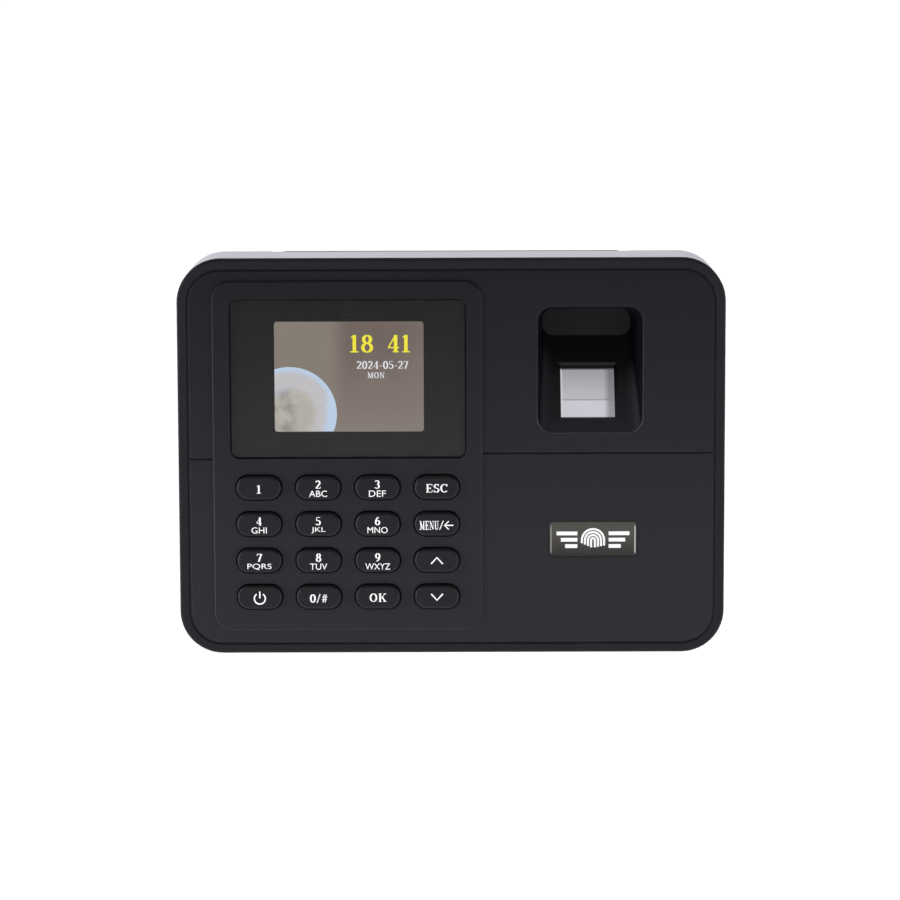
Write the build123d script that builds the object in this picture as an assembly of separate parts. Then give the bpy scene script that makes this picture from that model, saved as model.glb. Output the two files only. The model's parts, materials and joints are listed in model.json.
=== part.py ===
from build123d import *
from math import atan2, cos, degrees, sin
import os

# Fingerprint terminal that hangs on a steel wall bracket.
#
# Frame: the origin lies on the wall plane, in the middle of the four wall screws.
# +X points right seen from the front, +Z points up and the front faces -Y.
# A "distance" is always the distance out from the wall, so distance d means y = -d.
# Sizes are in millimetres.

# ---------------------------------------------------------------- casing
WIDTH = 178.0
HEIGHT = 129.4
CORNER = 14.0
FACE = 33.0            # main front face
SEAM = 27.5            # where the rear cover ends
SEAM_GAP = 0.2
REAR_GAP = 0.4         # rear rim to wall
WALL = 2.2
SKIN = 2.4             # front wall thickness
FRONT_EDGE = 0.7
REAR_EDGE = 0.8
SEAM_EDGE = 0.5
LIP_GAP = 0.15
LIP = 1.2
LIP_START = 25.0

# ---------------------------------------------------------------- face styling
GROOVE_INSET = 3.0
GROOVE = 0.65
GROOVE_DEPTH = 0.55
RIM_EDGE = 0.25
PANEL_EDGE = 0.35
DIVIDER_LEFT = (-0.6, -0.1)     # gap between the panels, left of the block
DIVIDER_RIGHT = (1.15, 1.5)     # the same gap, right of the block
DIVIDER_SLOPE = (1.5, 0.5)      # height and depth of the slope below the right gap
BLOCK = (-77.75, 10.1, -57.2, 57.8)
BLOCK_CORNER = 6.3
BLOCK_FACE = 33.8
BLOCK_EDGE = 0.6

# ---------------------------------------------------------------- display
WINDOW = (-71.9, 4.7, -0.2, 51.6)
WINDOW_CORNER = 3.0
WINDOW_GAP = 0.12
WINDOW_THICK = 1.5
MASK_THICK = 0.1
TAPE_THICK = 0.2
LEDGE = 3.5
ACTIVE = (-57.5, -9.0, 8.4, 44.4)
LCD = (-60.4, -0.1, 4.95, 47.65)
LCD_GLASS_INSET = 0.9
LCD_FRONT = 31.2
LCD_GLASS_THICK = 1.6

# ---------------------------------------------------------------- keypad
KEY_WIDTH = 14.6
KEY_HEIGHT = 7.9
KEY_CORNER = 3.8
KEY_FACE = 35.4
KEY_EDGE = 0.9
KEY_GAP = 0.25
KEY_HOLE_EDGE = 0.2
KEY_TRAVEL = 0.9
KEY_FLANGE = 1.0
KEY_FLANGE_THICK = 1.0
KEY_X = [-62.8 + 19.3 * column for column in range(4)]
KEY_Z = [-9.7 - 12.03 * row for row in range(4)]
KEY_NAMES = (
    ("key_1", "key_2", "key_3", "key_esc"),
    ("key_4", "key_5", "key_6", "key_menu"),
    ("key_7", "key_8", "key_9", "key_up"),
    ("key_power", "key_0", "key_ok", "key_down"),
)
KEY_WELL = (-72.2, 5.2, -52.2, -4.4)
KEY_WELL_ROOF = 31.4
STEM_RADIUS = 2.1
COLLAR_GAP = 0.5
COLLAR_WALL = 1.1

# ---------------------------------------------------------------- finger pocket and sensor
POCKET_MOUTH = (28.1, 62.1, 7.7, 49.1)
POCKET_MOUTH_CORNER = 4.7
POCKET_BACK = (30.0, 59.0, 37.7, 46.4)
POCKET_BACK_CORNER = 3.6
POCKET_DEPTH = 20.0
POCKET_WALL = 1.8
POCKET_EDGE = 0.5
SENSOR_X = 44.6
SENSOR_Z = 20.8
SENSOR_WINDOW = (17.3, 18.5)
SENSOR_GAP = 0.2
SENSOR_BEVEL = 0.8     # bevel of the opening in the ramp
SENSOR_DROP = 1.2      # ramp down to the glass
GLASS_BEVEL = 1.1

# ---------------------------------------------------------------- badge
BADGE = (31.7, 60.5, -33.0, -21.5)
BADGE_CORNER = 1.5
BADGE_RECESS = 0.2
LABEL_THICK = 0.15
DOME_HEIGHT = 1.1

# ---------------------------------------------------------------- boards
BOARD = 1.6
FRONT_BOARD = (-76.0, 8.5, -57.0, 56.0)
FRONT_BOARD_BACK = 26.6
FRONT_BOARD_FACE = FRONT_BOARD_BACK + BOARD
FRONT_BOARD_SCREWS = [(x, z) for x in (-73.0, 5.6) for z in (52.2, -0.4, -54.7)]
MAIN_BOARD = (-75.0, 22.0, -52.0, 50.0)
MAIN_BOARD_BACK = 9.6
MAIN_BOARD_FACE = MAIN_BOARD_BACK + BOARD
MAIN_BOARD_SCREWS = [(-72.0, 46.0), (-72.0, -36.0), (16.0, 46.0), (16.0, -48.0)]
FRONT_BOARD_BOSS = 2.5
FRONT_BOARD_PILOT = 1.0
MAIN_BOARD_BOSS = 3.0
MAIN_BOARD_PILOT = 1.25

# ---------------------------------------------------------------- casing screws
CASING_SCREWS = [(x, z) for x in (-80.0, 80.0) for z in (-56.0, 0.0, 56.0)]
CASING_SPLIT = 12.0    # where a front boss meets its rear boss
SCREW_SEAT = 9.0
FRONT_BOSS = 3.25
FRONT_PILOT = 1.5
FRONT_PILOT_DEPTH = 12.0
REAR_BOSS = 4.5
REAR_COUNTERBORE = 3.2
REAR_HOLE = 1.6

# ---------------------------------------------------------------- wall bracket
PLATE = 1.6
PLATE_EDGES = (-58.5, 58.5, -54.0, HEIGHT / 2 - 0.05)
WALL_SCREW_X = 35.0
WALL_SCREW_Z = 40.0
WALL_SCREW_RADIUS = 2.25
HOOKS = [(x, z) for x in (-24.0, 24.0) for z in (34.0, -44.0)]
HOOK_WIDTH = 8.0
HOOK_RISE = 5.0
HOOK_BACK = 7.6
HOOK_THICK = 1.5
LIFT = 6.0
RECESS = (-59.5, 59.5, -61.0, 58.0)
RECESS_FLOOR = 5.0
NOTCH_FLOOR = 3.0
CABLE_WINDOW = (-24.0, 24.0, -14.0, 8.0)
TAB_WIDTH = 20.0
TAB_REACH = 14.0
LOCK_DISTANCE = 9.0
LOCK_TAB_TOP = -HEIGHT / 2 - 0.1
LOCK_TAB_BOTTOM = LOCK_TAB_TOP - PLATE

# ---------------------------------------------------------------- sockets and speaker
NETWORK_SOCKET = (-58.0, -42.0, 11.2, 24.7)
USB_SOCKET = (-30.0, -15.5, 11.2, 18.2)
POWER_SOCKET = (-71.0, -62.0, 11.2, 22.2)
SOCKET_GAP = 0.2
SOCKET_MOUTH = -HEIGHT / 2 + 0.5
SPEAKER_X = 46.0
SPEAKER_DISTANCE = 16.0
SPEAKER_SIZE = (30.0, 16.0)
SPEAKER_FLOOR = -HEIGHT / 2 + WALL


# ================================================================ helpers
def span(edges, corner):
    """Front-view rounded rectangle between left, right, bottom and top."""
    left, right, bottom, top = edges
    middle = Pos((left + right) / 2, (bottom + top) / 2)
    if corner:
        return middle * RectangleRounded(right - left, top - bottom, corner)
    return middle * Rectangle(right - left, top - bottom)


def grow(edges, amount):
    left, right, bottom, top = edges
    return left - amount, right + amount, bottom - amount, top + amount


def outline(inset):
    """The casing's outline, moved in from the outside by inset."""
    return RectangleRounded(WIDTH - 2 * inset, HEIGHT - 2 * inset, CORNER - inset)


def key_outline(x, z, margin):
    """A key's rounded outline, made larger all round by margin."""
    size = (KEY_WIDTH + 2 * margin, KEY_HEIGHT + 2 * margin, KEY_CORNER + margin)
    return Pos(x, z) * RectangleRounded(*size)


def slab(sketch, near, far):
    """Carry a front-view sketch from one distance to another."""
    return extrude(Plane.XZ.offset(near) * sketch, far - near)


def brick(left, right, bottom, top, near, far):
    return slab(span((left, right, bottom, top), 0), near, far)


def rod(x, z, radius, near, far):
    return slab(Pos(x, z) * Circle(radius), near, far)


def post(x, distance, radius, low, high):
    """Upright cylinder between two heights."""
    return Pos(x, -distance, (low + high) / 2) * Cylinder(radius, high - low)


def front_face(solid):
    return solid.faces().sort_by(Axis.Y)[0]


def soften_outer(solid, radius):
    return fillet(front_face(solid).outer_wire().edges(), radius)


def soften_holes(solid, radius):
    holes = [edge for wire in front_face(solid).inner_wires() for edge in wire.edges()]
    return fillet(holes, radius)


def pan_screw(x, z, seat, tip, head_radius, head_height, shank_radius):
    """Screw along Y with a cross recess; its head lies on the wall side of the seat."""
    head = rod(x, z, head_radius, seat - head_height, seat)
    slot = 0.35 * head_radius
    floor = seat - 0.4 * head_height
    for width, height in ((slot, 3.2 * slot), (3.2 * slot, slot)):
        head -= slab(Pos(x, z) * Rectangle(width, height), seat - head_height, floor)
    return head + rod(x, z, shank_radius, seat, tip)


# ================================================================ finger pocket
def pocket_hollow():
    """The funnel-shaped pocket: its floor is a flat ramp that meets the face at the bottom."""
    mouth = Plane.XZ.offset(FACE) * span(POCKET_MOUTH, POCKET_MOUTH_CORNER)
    back = Plane.XZ.offset(FACE - POCKET_DEPTH) * span(POCKET_BACK, POCKET_BACK_CORNER)
    return loft([mouth, back], ruled=True)


RAMP_RUN = POCKET_BACK[2] - POCKET_MOUTH[2]
RAMP_TILT = atan2(POCKET_DEPTH, RAMP_RUN)
SENSOR_DEPTH = (SENSOR_Z - POCKET_MOUTH[2]) * POCKET_DEPTH / RAMP_RUN
RAMP = Plane(
    origin=(SENSOR_X, SENSOR_DEPTH - FACE, SENSOR_Z),
    x_dir=(1, 0, 0),
    z_dir=(0, -cos(RAMP_TILT), sin(RAMP_TILT)),
)


def ramp_slab(sketch, low, high):
    """Carry a sketch on the ramp between two heights; a negative height is inside the casing."""
    return extrude(RAMP.offset(low) * sketch, high - low)


def pocket_shell():
    """Wall around the pocket, with the ramp's back kept parallel to its front."""
    start = 1.5
    depth = POCKET_DEPTH + POCKET_WALL
    drop = POCKET_WALL / cos(RAMP_TILT)
    slope = RAMP_RUN / POCKET_DEPTH

    def section(at, flare):
        share = min(at, POCKET_DEPTH) / POCKET_DEPTH
        left = POCKET_MOUTH[0] + share * (POCKET_BACK[0] - POCKET_MOUTH[0]) - POCKET_WALL
        right = POCKET_MOUTH[1] + share * (POCKET_BACK[1] - POCKET_MOUTH[1]) + POCKET_WALL
        top = POCKET_MOUTH[3] + share * (POCKET_BACK[3] - POCKET_MOUTH[3]) + POCKET_WALL
        bottom = POCKET_MOUTH[2] + (at - drop) * slope
        return Plane.XZ.offset(FACE - at) * span((left, right, bottom, top), flare)

    outside = loft([section(start, 5.6), section(depth, 4.4)], ruled=True)
    return outside - pocket_hollow()


SENSOR_BOSSES = (-15.0, 15.0)      # across the ramp
SENSOR_BOSS = 2.2
SENSOR_PILOT = 1.0
SENSOR_EAR = -6.0                  # height on the ramp where the housing's ears sit


def sensor_sketch(margin):
    """The sensor window's outline on the ramp, made larger all round by margin."""
    width, height = SENSOR_WINDOW
    return Rectangle(width + 2 * margin, height + 2 * margin)


def sensor_opening():
    """Opening in the ramp with a bevel all round its edge."""
    wide = RAMP * sensor_sketch(SENSOR_GAP + SENSOR_BEVEL)
    narrow = RAMP.offset(-SENSOR_BEVEL) * sensor_sketch(SENSOR_GAP)
    bevel = loft([wide, narrow], ruled=True)
    return bevel + ramp_slab(sensor_sketch(SENSOR_GAP), -4.0, 0.0)


# ================================================================ covers
def face_panels():
    """The two flush panels inside the perimeter groove, above and below the divider."""
    inside = outline(GROOVE_INSET + GROOVE)
    upper_half = span((-WIDTH, 0, DIVIDER_LEFT[1], HEIGHT), 0)
    upper_half += span((0, WIDTH, DIVIDER_RIGHT[1], HEIGHT), 0)
    lower_half = span((-WIDTH, 0, -HEIGHT, DIVIDER_LEFT[0]), 0)
    lower_half += span((0, WIDTH, -HEIGHT, DIVIDER_RIGHT[0]), 0)

    upper = slab(inside & upper_half, FACE - SKIN, FACE)
    upper = soften_outer(upper, PANEL_EDGE)
    upper -= pocket_hollow()
    upper = soften_holes(upper, POCKET_EDGE)

    lower = slab(inside & lower_half, FACE - SKIN, FACE)
    lower = soften_outer(lower, PANEL_EDGE)
    lower -= divider_slope()
    lower -= slab(span(grow(BADGE, WINDOW_GAP), BADGE_CORNER), FACE - BADGE_RECESS, FACE)
    return [upper, lower]


def divider_slope():
    """Wedge taken off the lower panel's top edge, right of the block."""
    top = DIVIDER_RIGHT[0]
    height, depth = DIVIDER_SLOPE
    section = Polygon((-FACE, top), (-FACE + depth, top), (-FACE, top - height), align=None)
    return extrude(Plane.YZ * section, WIDTH / 2)


def face_block():
    """The raised block that carries the display window and the keypad."""
    block = slab(span(BLOCK, BLOCK_CORNER), FACE - SKIN, BLOCK_FACE)
    for x in KEY_X:
        for z in KEY_Z:
            block -= slab(key_outline(x, z, KEY_GAP), FACE - SKIN, BLOCK_FACE)
    block = soften_holes(block, KEY_HOLE_EDGE)
    block = soften_outer(block, BLOCK_EDGE)
    stack = WINDOW_THICK + MASK_THICK + TAPE_THICK
    block -= slab(span(grow(WINDOW, WINDOW_GAP), WINDOW_CORNER), BLOCK_FACE - stack, BLOCK_FACE)
    block -= slab(span(grow(WINDOW, -LEDGE), 1.0), FACE - SKIN, BLOCK_FACE)
    block -= brick(*KEY_WELL, FACE - SKIN, KEY_WELL_ROOF)
    return block


def front_cover():
    cover = slab(outline(0), SEAM + SEAM_GAP, FACE)
    cover -= slab(outline(GROOVE_INSET), FACE - GROOVE_DEPTH, FACE)
    cover = soften_outer(cover, FRONT_EDGE)
    cover = soften_holes(cover, RIM_EDGE)
    cover -= slab(outline(WALL + LIP_GAP + LIP), SEAM + SEAM_GAP, FACE - SKIN)
    lip = outline(WALL + LIP_GAP) - outline(WALL + LIP_GAP + LIP)
    cover += slab(lip, LIP_START, SEAM + SEAM_GAP)
    cover -= slab(span(grow(BLOCK, -0.5), BLOCK_CORNER), FACE - SKIN, FACE)
    cover -= pocket_hollow()
    for panel in face_panels():
        panel -= slab(span(grow(BLOCK, -0.5), BLOCK_CORNER), FACE - SKIN, FACE)
        cover += panel
    cover += face_block()
    cover += pocket_shell()
    for x, z in CASING_SCREWS:
        cover += rod(x, z, FRONT_BOSS, CASING_SPLIT + SEAM_GAP, FACE - SKIN)
        cover -= rod(x, z, FRONT_PILOT, CASING_SPLIT + SEAM_GAP, CASING_SPLIT + FRONT_PILOT_DEPTH)
    for x, z in FRONT_BOARD_SCREWS:
        cover += rod(x, z, FRONT_BOARD_BOSS, FRONT_BOARD_FACE, FACE - SKIN)
        cover -= rod(x, z, FRONT_BOARD_PILOT, FRONT_BOARD_FACE, FRONT_BOARD_FACE + 3.6)
    for x in SENSOR_BOSSES:
        cover += ramp_slab(Pos(x, 0) * Circle(SENSOR_BOSS), SENSOR_EAR, -1.0)
        cover -= ramp_slab(Pos(x, 0) * Circle(SENSOR_PILOT), SENSOR_EAR, -2.3)
    return cover - sensor_opening()


def rear_cover():
    cover = slab(outline(0), REAR_GAP, SEAM)
    cover = fillet(cover.faces().sort_by(Axis.Y)[-1].edges(), REAR_EDGE)
    cover = soften_outer(cover, SEAM_EDGE)
    hollow = slab(outline(WALL), REAR_GAP + WALL, SEAM)
    left, right, bottom, top = RECESS
    step = brick(left - WALL, right + WALL, bottom - WALL, HEIGHT, 0, RECESS_FLOOR + WALL)
    cover -= hollow - step
    cover -= brick(*RECESS, 0, RECESS_FLOOR)
    cover -= brick(left, right, top, HEIGHT, 0, NOTCH_FLOOR)
    cover -= slab(span(CABLE_WINDOW, 2.0), RECESS_FLOOR, RECESS_FLOOR + WALL)
    cover -= brick(-TAB_WIDTH / 2 - 1, TAB_WIDTH / 2 + 1, -HEIGHT, RECESS[2], 0, PLATE + 0.8)
    for x, z in HOOKS:
        slot_top = z + PLATE + 0.1
        edges = (x - HOOK_WIDTH / 2 - 0.5, x + HOOK_WIDTH / 2 + 0.5, slot_top - LIFT - 2.2, slot_top)
        cover -= brick(*edges, RECESS_FLOOR, RECESS_FLOOR + WALL)
    for x, z in CASING_SCREWS:
        cover += rod(x, z, REAR_BOSS, REAR_GAP + 0.5, CASING_SPLIT)
        cover -= rod(x, z, REAR_COUNTERBORE, 0, SCREW_SEAT)
        cover -= rod(x, z, REAR_HOLE, SCREW_SEAT, CASING_SPLIT)
    for x, z in MAIN_BOARD_SCREWS:
        foot = REAR_GAP + 1.0 if abs(x) > RECESS[1] + WALL else RECESS_FLOOR + 1.0
        cover += rod(x, z, MAIN_BOARD_BOSS, foot, MAIN_BOARD_BACK)
        cover -= rod(x, z, MAIN_BOARD_PILOT, RECESS_FLOOR + 1.2, MAIN_BOARD_BACK)
    cover += lock_boss()
    cover -= post(0, LOCK_DISTANCE, 1.5, -HEIGHT, -HEIGHT / 2 + 6.0)
    for left, right, near, far in (NETWORK_SOCKET, USB_SOCKET, POWER_SOCKET):
        mouth = (left - SOCKET_GAP, right + SOCKET_GAP, -HEIGHT, SPEAKER_FLOOR)
        cover -= brick(*mouth, near - SOCKET_GAP, far + SOCKET_GAP)
    for step in range(-4, 5):
        slot = Pos(SPEAKER_X + 2.8 * step, -SPEAKER_DISTANCE) * SlotOverall(11.0, 1.3, rotation=90)
        cover -= extrude(Plane.XY.offset(-HEIGHT / 2) * slot, WALL)
    return cover


def lock_boss():
    """Boss inside the bottom wall for the lock screw."""
    low = -HEIGHT / 2 + 1.0
    return post(0, LOCK_DISTANCE, 3.5, low, low + 7.0)


# ================================================================ display and badge
def display_window():
    window = slab(span(WINDOW, WINDOW_CORNER), BLOCK_FACE - WINDOW_THICK, BLOCK_FACE)
    return soften_outer(window, 0.15)


def window_mask():
    """Opaque print on the back of the window, open over the picture area."""
    back = BLOCK_FACE - WINDOW_THICK
    sheet = span(grow(WINDOW, -0.3), WINDOW_CORNER - 0.3) - span(ACTIVE, 1.0)
    return slab(sheet, back - MASK_THICK, back)


def window_tape():
    back = BLOCK_FACE - WINDOW_THICK - MASK_THICK
    ring = span(grow(WINDOW, -0.4), WINDOW_CORNER - 0.4) - span(grow(WINDOW, -LEDGE), 1.0)
    return slab(ring, back - TAPE_THICK, back)


def lcd_backlight():
    tray = slab(span(LCD, 0.8), FRONT_BOARD_FACE, LCD_FRONT)
    seat = LCD_FRONT - LCD_GLASS_THICK
    return tray - slab(span(grow(LCD, -LCD_GLASS_INSET + 0.05), 0.5), seat, LCD_FRONT)


def lcd_glass():
    return slab(span(grow(LCD, -LCD_GLASS_INSET), 0.5), LCD_FRONT - LCD_GLASS_THICK, LCD_FRONT)


def lcd_flex():
    """Flat tail that leaves the display's side and lies down on the front board."""
    x = LCD[1] + 0.05
    with_bend = brick(x, x + 0.15, 15.0, 37.0, FRONT_BOARD_FACE + 0.05, LCD_FRONT - 0.4)
    return with_bend + brick(x, x + 4.6, 15.0, 37.0, FRONT_BOARD_FACE + 0.05, FRONT_BOARD_FACE + 0.2)


def badge_label():
    floor = FACE - BADGE_RECESS
    return slab(span(BADGE, BADGE_CORNER), floor, floor + LABEL_THICK)


def badge_dome():
    """Clear resin poured on the label, so its edge is rounded over."""
    floor = FACE - BADGE_RECESS + LABEL_THICK
    return soften_outer(slab(span(BADGE, BADGE_CORNER), floor, floor + DOME_HEIGHT), 0.95)


# ================================================================ keypad
def key(x, z):
    """Cap, the flange that keeps it behind the cover, and the stem that meets the board."""
    flange_back = KEY_WELL_ROOF - 0.2 - KEY_FLANGE_THICK
    cap = soften_outer(slab(key_outline(x, z, 0), flange_back, KEY_FACE), KEY_EDGE)
    flange = slab(key_outline(x, z, KEY_FLANGE), flange_back, flange_back + KEY_FLANGE_THICK)
    stem = rod(x, z, STEM_RADIUS, FRONT_BOARD_FACE + KEY_TRAVEL + 0.05, flange_back)
    return cap + flange + stem


def keypad_mat():
    """Silicone sheet with a raised collar round each key's stem."""
    mat = slab(span(grow(KEY_WELL, -0.7), 2.0), FRONT_BOARD_FACE, FRONT_BOARD_FACE + 0.6)
    for x in KEY_X:
        for z in KEY_Z:
            bore = STEM_RADIUS + COLLAR_GAP
            mat += rod(x, z, bore + COLLAR_WALL, FRONT_BOARD_FACE, FRONT_BOARD_FACE + 1.0)
            mat -= rod(x, z, bore, FRONT_BOARD_FACE, FRONT_BOARD_FACE + 1.0)
    return mat


# ================================================================ boards
def front_board():
    board = slab(span(FRONT_BOARD, 2.0), FRONT_BOARD_BACK, FRONT_BOARD_FACE)
    for x, z in FRONT_BOARD_SCREWS:
        board -= rod(x, z, 1.15, FRONT_BOARD_BACK, FRONT_BOARD_FACE)
    return board


def front_board_screws():
    tip = FRONT_BOARD_FACE + 3.2
    return [pan_screw(x, z, FRONT_BOARD_BACK, tip, 1.9, 1.3, 0.95) for x, z in FRONT_BOARD_SCREWS]


def main_board():
    board = slab(span(MAIN_BOARD, 2.0), MAIN_BOARD_BACK, MAIN_BOARD_FACE)
    for x, z in MAIN_BOARD_SCREWS:
        board -= rod(x, z, 1.4, MAIN_BOARD_BACK, MAIN_BOARD_FACE)
    return board


def main_board_screws():
    """Driven from the front of the board into the rear cover's bosses."""
    screws = []
    for x, z in MAIN_BOARD_SCREWS:
        head = soften_outer(rod(x, z, 2.3, MAIN_BOARD_FACE, MAIN_BOARD_FACE + 1.5), 0.6)
        head -= slab(Pos(x, z) * Rectangle(2.6, 0.6), MAIN_BOARD_FACE + 0.9, MAIN_BOARD_FACE + 1.5)
        screws.append(head + rod(x, z, 1.2, RECESS_FLOOR + 1.5, MAIN_BOARD_FACE))
    return screws


CHIPS = [  # x, z, width, height, thickness
    (-30.0, 8.0, 14.0, 14.0, 1.2),
    (-8.0, 9.0, 11.0, 13.0, 1.1),
    (-8.0, -12.0, 6.0, 8.0, 1.6),
    (-50.0, -28.0, 7.0, 7.0, 1.0),
    (8.0, 22.0, 6.0, 5.0, 1.4),
]


def chips():
    bodies = []
    for x, z, width, height, thickness in CHIPS:
        body = slab(Pos(x, z) * Rectangle(width, height), MAIN_BOARD_FACE, MAIN_BOARD_FACE + thickness)
        bodies.append(soften_outer(body, 0.15))
    return bodies


CANS = [(-8.0, -30.0), (-8.0, -40.0), (-34.0, -30.0)]


def capacitors():
    cans = [rod(x, z, 3.15, MAIN_BOARD_FACE, MAIN_BOARD_FACE + 7.7) for x, z in CANS]
    return [soften_outer(can, 0.5) for can in cans]


CELL = (-58.0, 26.0, 10.0)


def battery_holder():
    x, z, radius = CELL
    cup = rod(x, z, radius + 1.4, MAIN_BOARD_FACE, MAIN_BOARD_FACE + 3.4)
    cup -= rod(x, z, radius + 0.1, MAIN_BOARD_FACE + 0.6, MAIN_BOARD_FACE + 3.4)
    return cup - brick(x - 4.0, x + 4.0, z, z + 2 * radius, MAIN_BOARD_FACE + 0.6, MAIN_BOARD_FACE + 3.4)


def clock_battery():
    x, z, radius = CELL
    return soften_outer(rod(x, z, radius, MAIN_BOARD_FACE + 0.6, MAIN_BOARD_FACE + 3.8), 0.3)


def wiring_headers():
    """Plug-in wiring headers on the board's back, reached through the cable window."""
    headers = []
    for step in range(4):
        x = -16.5 + 11.0 * step
        header = brick(x - 4.8, x + 4.8, -6.0, 2.0, 4.7, MAIN_BOARD_BACK)
        header -= brick(x - 4.0, x + 4.0, -5.2, 1.2, 4.7, MAIN_BOARD_BACK - 1.0)
        for pin in (-2.5, 0.0, 2.5):
            header += brick(x + pin - 0.3, x + pin + 0.3, -2.3, -1.7, 5.2, MAIN_BOARD_BACK - 0.9)
        headers.append(header)
    return headers


def door_relay():
    return soften_outer(brick(4.0, 14.0, -42.0, -22.0, MAIN_BOARD_FACE, MAIN_BOARD_FACE + 12.0), 0.5)


def open_socket(edges, wall, depth, length):
    """Boxed socket whose mouth faces down through the bottom wall."""
    left, right, near, far = edges
    box = brick(left, right, SOCKET_MOUTH, SOCKET_MOUTH + length, near, far)
    inside = (left + wall, right - wall, SOCKET_MOUTH, SOCKET_MOUTH + depth)
    return box - brick(*inside, near + wall, far - wall)


def network_socket():
    socket = open_socket(NETWORK_SOCKET, 2.0, 12.0, 21.0)
    left, right, near, far = NETWORK_SOCKET
    middle = (left + right) / 2
    catch = (middle - 3.0, middle + 3.0, SOCKET_MOUTH, SOCKET_MOUTH + 8.0)
    return socket - brick(*catch, far - 2.0, far - 1.0)


def usb_socket():
    left, right, near, far = USB_SOCKET
    socket = open_socket(USB_SOCKET, 0.6, 11.0, 14.0)
    tongue = brick(left + 1.6, right - 1.6, SOCKET_MOUTH + 1.5, SOCKET_MOUTH + 11.0, near + 3.6, near + 5.2)
    return socket + tongue


def power_socket():
    left, right, near, far = POWER_SOCKET
    middle = (left + right) / 2
    axis = (near + far) / 2
    socket = brick(left, right, SOCKET_MOUTH, SOCKET_MOUTH + 14.0, near, far)
    socket -= post(middle, axis, 3.0, SOCKET_MOUTH, SOCKET_MOUTH + 10.0)
    return socket + post(middle, axis, 1.0, SOCKET_MOUTH + 1.0, SOCKET_MOUTH + 10.2)


RIBBON = (-30.0, -10.0, 36.0)      # left, right, height


def ribbon_sockets():
    """One flat-cable connector on each of the two boards, facing each other."""
    left, right, z = RIBBON
    edges = (left - 2.0, right + 2.0, z - 2.5, z + 2.5)
    slit = (left - 0.2, right + 0.2, z - 0.2, z + 0.2)
    low = brick(*edges, MAIN_BOARD_FACE, MAIN_BOARD_FACE + 2.6)
    low -= brick(*slit, MAIN_BOARD_FACE + 0.6, MAIN_BOARD_FACE + 2.6)
    high = brick(*edges, FRONT_BOARD_BACK - 2.6, FRONT_BOARD_BACK)
    high -= brick(*slit, FRONT_BOARD_BACK - 2.6, FRONT_BOARD_BACK - 0.6)
    return [low, high]


def board_ribbon():
    """Flat cable between the boards, its spare length bowed upwards in three arcs."""
    left, right, z = RIBBON
    low = -(MAIN_BOARD_FACE + 0.8)
    high = -(FRONT_BOARD_BACK - 0.8)
    stub = 1.9
    radius = (low - high - 2 * stub) / 4
    start = Line((low, z), (low - stub, z))
    rise = JernArc(start @ 1, (-1, 0), radius, -90)
    crown = JernArc(rise @ 1, (0, 1), radius, 180)
    fall = JernArc(crown @ 1, (0, -1), radius, -90)
    path = start + rise + crown + fall + Line(fall @ 1, (high, z))
    return extrude(Plane.YZ.offset(left) * trace(path, 0.25), right - left)


# ================================================================ speaker
def speaker_sketch(inset):
    width, depth = SPEAKER_SIZE
    shape = RectangleRounded(width - 2 * inset, depth - 2 * inset, depth / 2 - inset - 0.01)
    return Pos(SPEAKER_X, -SPEAKER_DISTANCE) * shape


def speaker_frame():
    frame = extrude(Plane.XY.offset(SPEAKER_FLOOR + 0.1) * speaker_sketch(0), 4.4)
    return frame - extrude(Plane.XY.offset(SPEAKER_FLOOR + 0.1) * speaker_sketch(1.2), 3.4)


def speaker_cone():
    low = SPEAKER_FLOOR + 1.2
    rim = Plane.XY.offset(low) * speaker_sketch(1.4)
    throat = Plane.XY.offset(low + 2.0) * speaker_sketch(4.0)
    inner_rim = Plane.XY.offset(low) * speaker_sketch(1.8)
    inner_throat = Plane.XY.offset(low + 1.6) * speaker_sketch(4.4)
    return loft([rim, throat], ruled=True) - loft([inner_rim, inner_throat], ruled=True)


def speaker_magnet():
    top = SPEAKER_FLOOR + 4.5
    return post(SPEAKER_X, SPEAKER_DISTANCE, 6.0, top, top + 3.2)


def wire(points, radius):
    """Round lead that passes smoothly through points."""
    path = Spline(*points)
    start = path.location_at(0)
    return sweep(Plane(start) * Circle(radius), path)


def speaker_wires():
    top = SPEAKER_FLOOR + 4.6
    leads = []
    for side in (-1, 1):
        start = (SPEAKER_X - 9.0, -SPEAKER_DISTANCE + 2.0 * side, top + 0.2)
        middle = (30.0, -18.0 + 2.0 * side, -48.0)
        end = (19.0, -(MAIN_BOARD_FACE + 0.8), -18.0 + 2.0 * side)
        leads.append(wire([start, middle, end], 0.5))
    return leads


# ================================================================ fingerprint sensor
def sensor_prism():
    """Glass block whose top stands in the ramp's opening, with a chamfer at its far edge."""
    top = ramp_slab(sensor_sketch(0), -3.4, -SENSOR_DROP)
    far_edge = top.edges().filter_by(Axis.X).sort_by(Axis.Z)[-1]
    top = chamfer(far_edge, GLASS_BEVEL)
    return top + ramp_slab(sensor_sketch(1.2), -7.0, -3.3)


def sensor_housing():
    box = ramp_slab(Pos(0, -0.5) * Rectangle(25.0, 25.0), -11.0, -2.0)
    box -= ramp_slab(Pos(0, -0.5) * Rectangle(22.0, 22.0), -11.0, -3.2)
    box -= ramp_slab(sensor_sketch(SENSOR_GAP), -3.2, -2.0)
    for x in SENSOR_BOSSES:
        side = 1 if x > 0 else -1
        ear = Pos(x - 0.2 * side, 0) * RectangleRounded(5.2, 6.0, 1.0)
        box += ramp_slab(ear, SENSOR_EAR - 1.6, SENSOR_EAR - 0.1)
        box -= ramp_slab(Pos(x, 0) * Circle(1.15), SENSOR_EAR - 1.6, SENSOR_EAR - 0.1)
    return box


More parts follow.
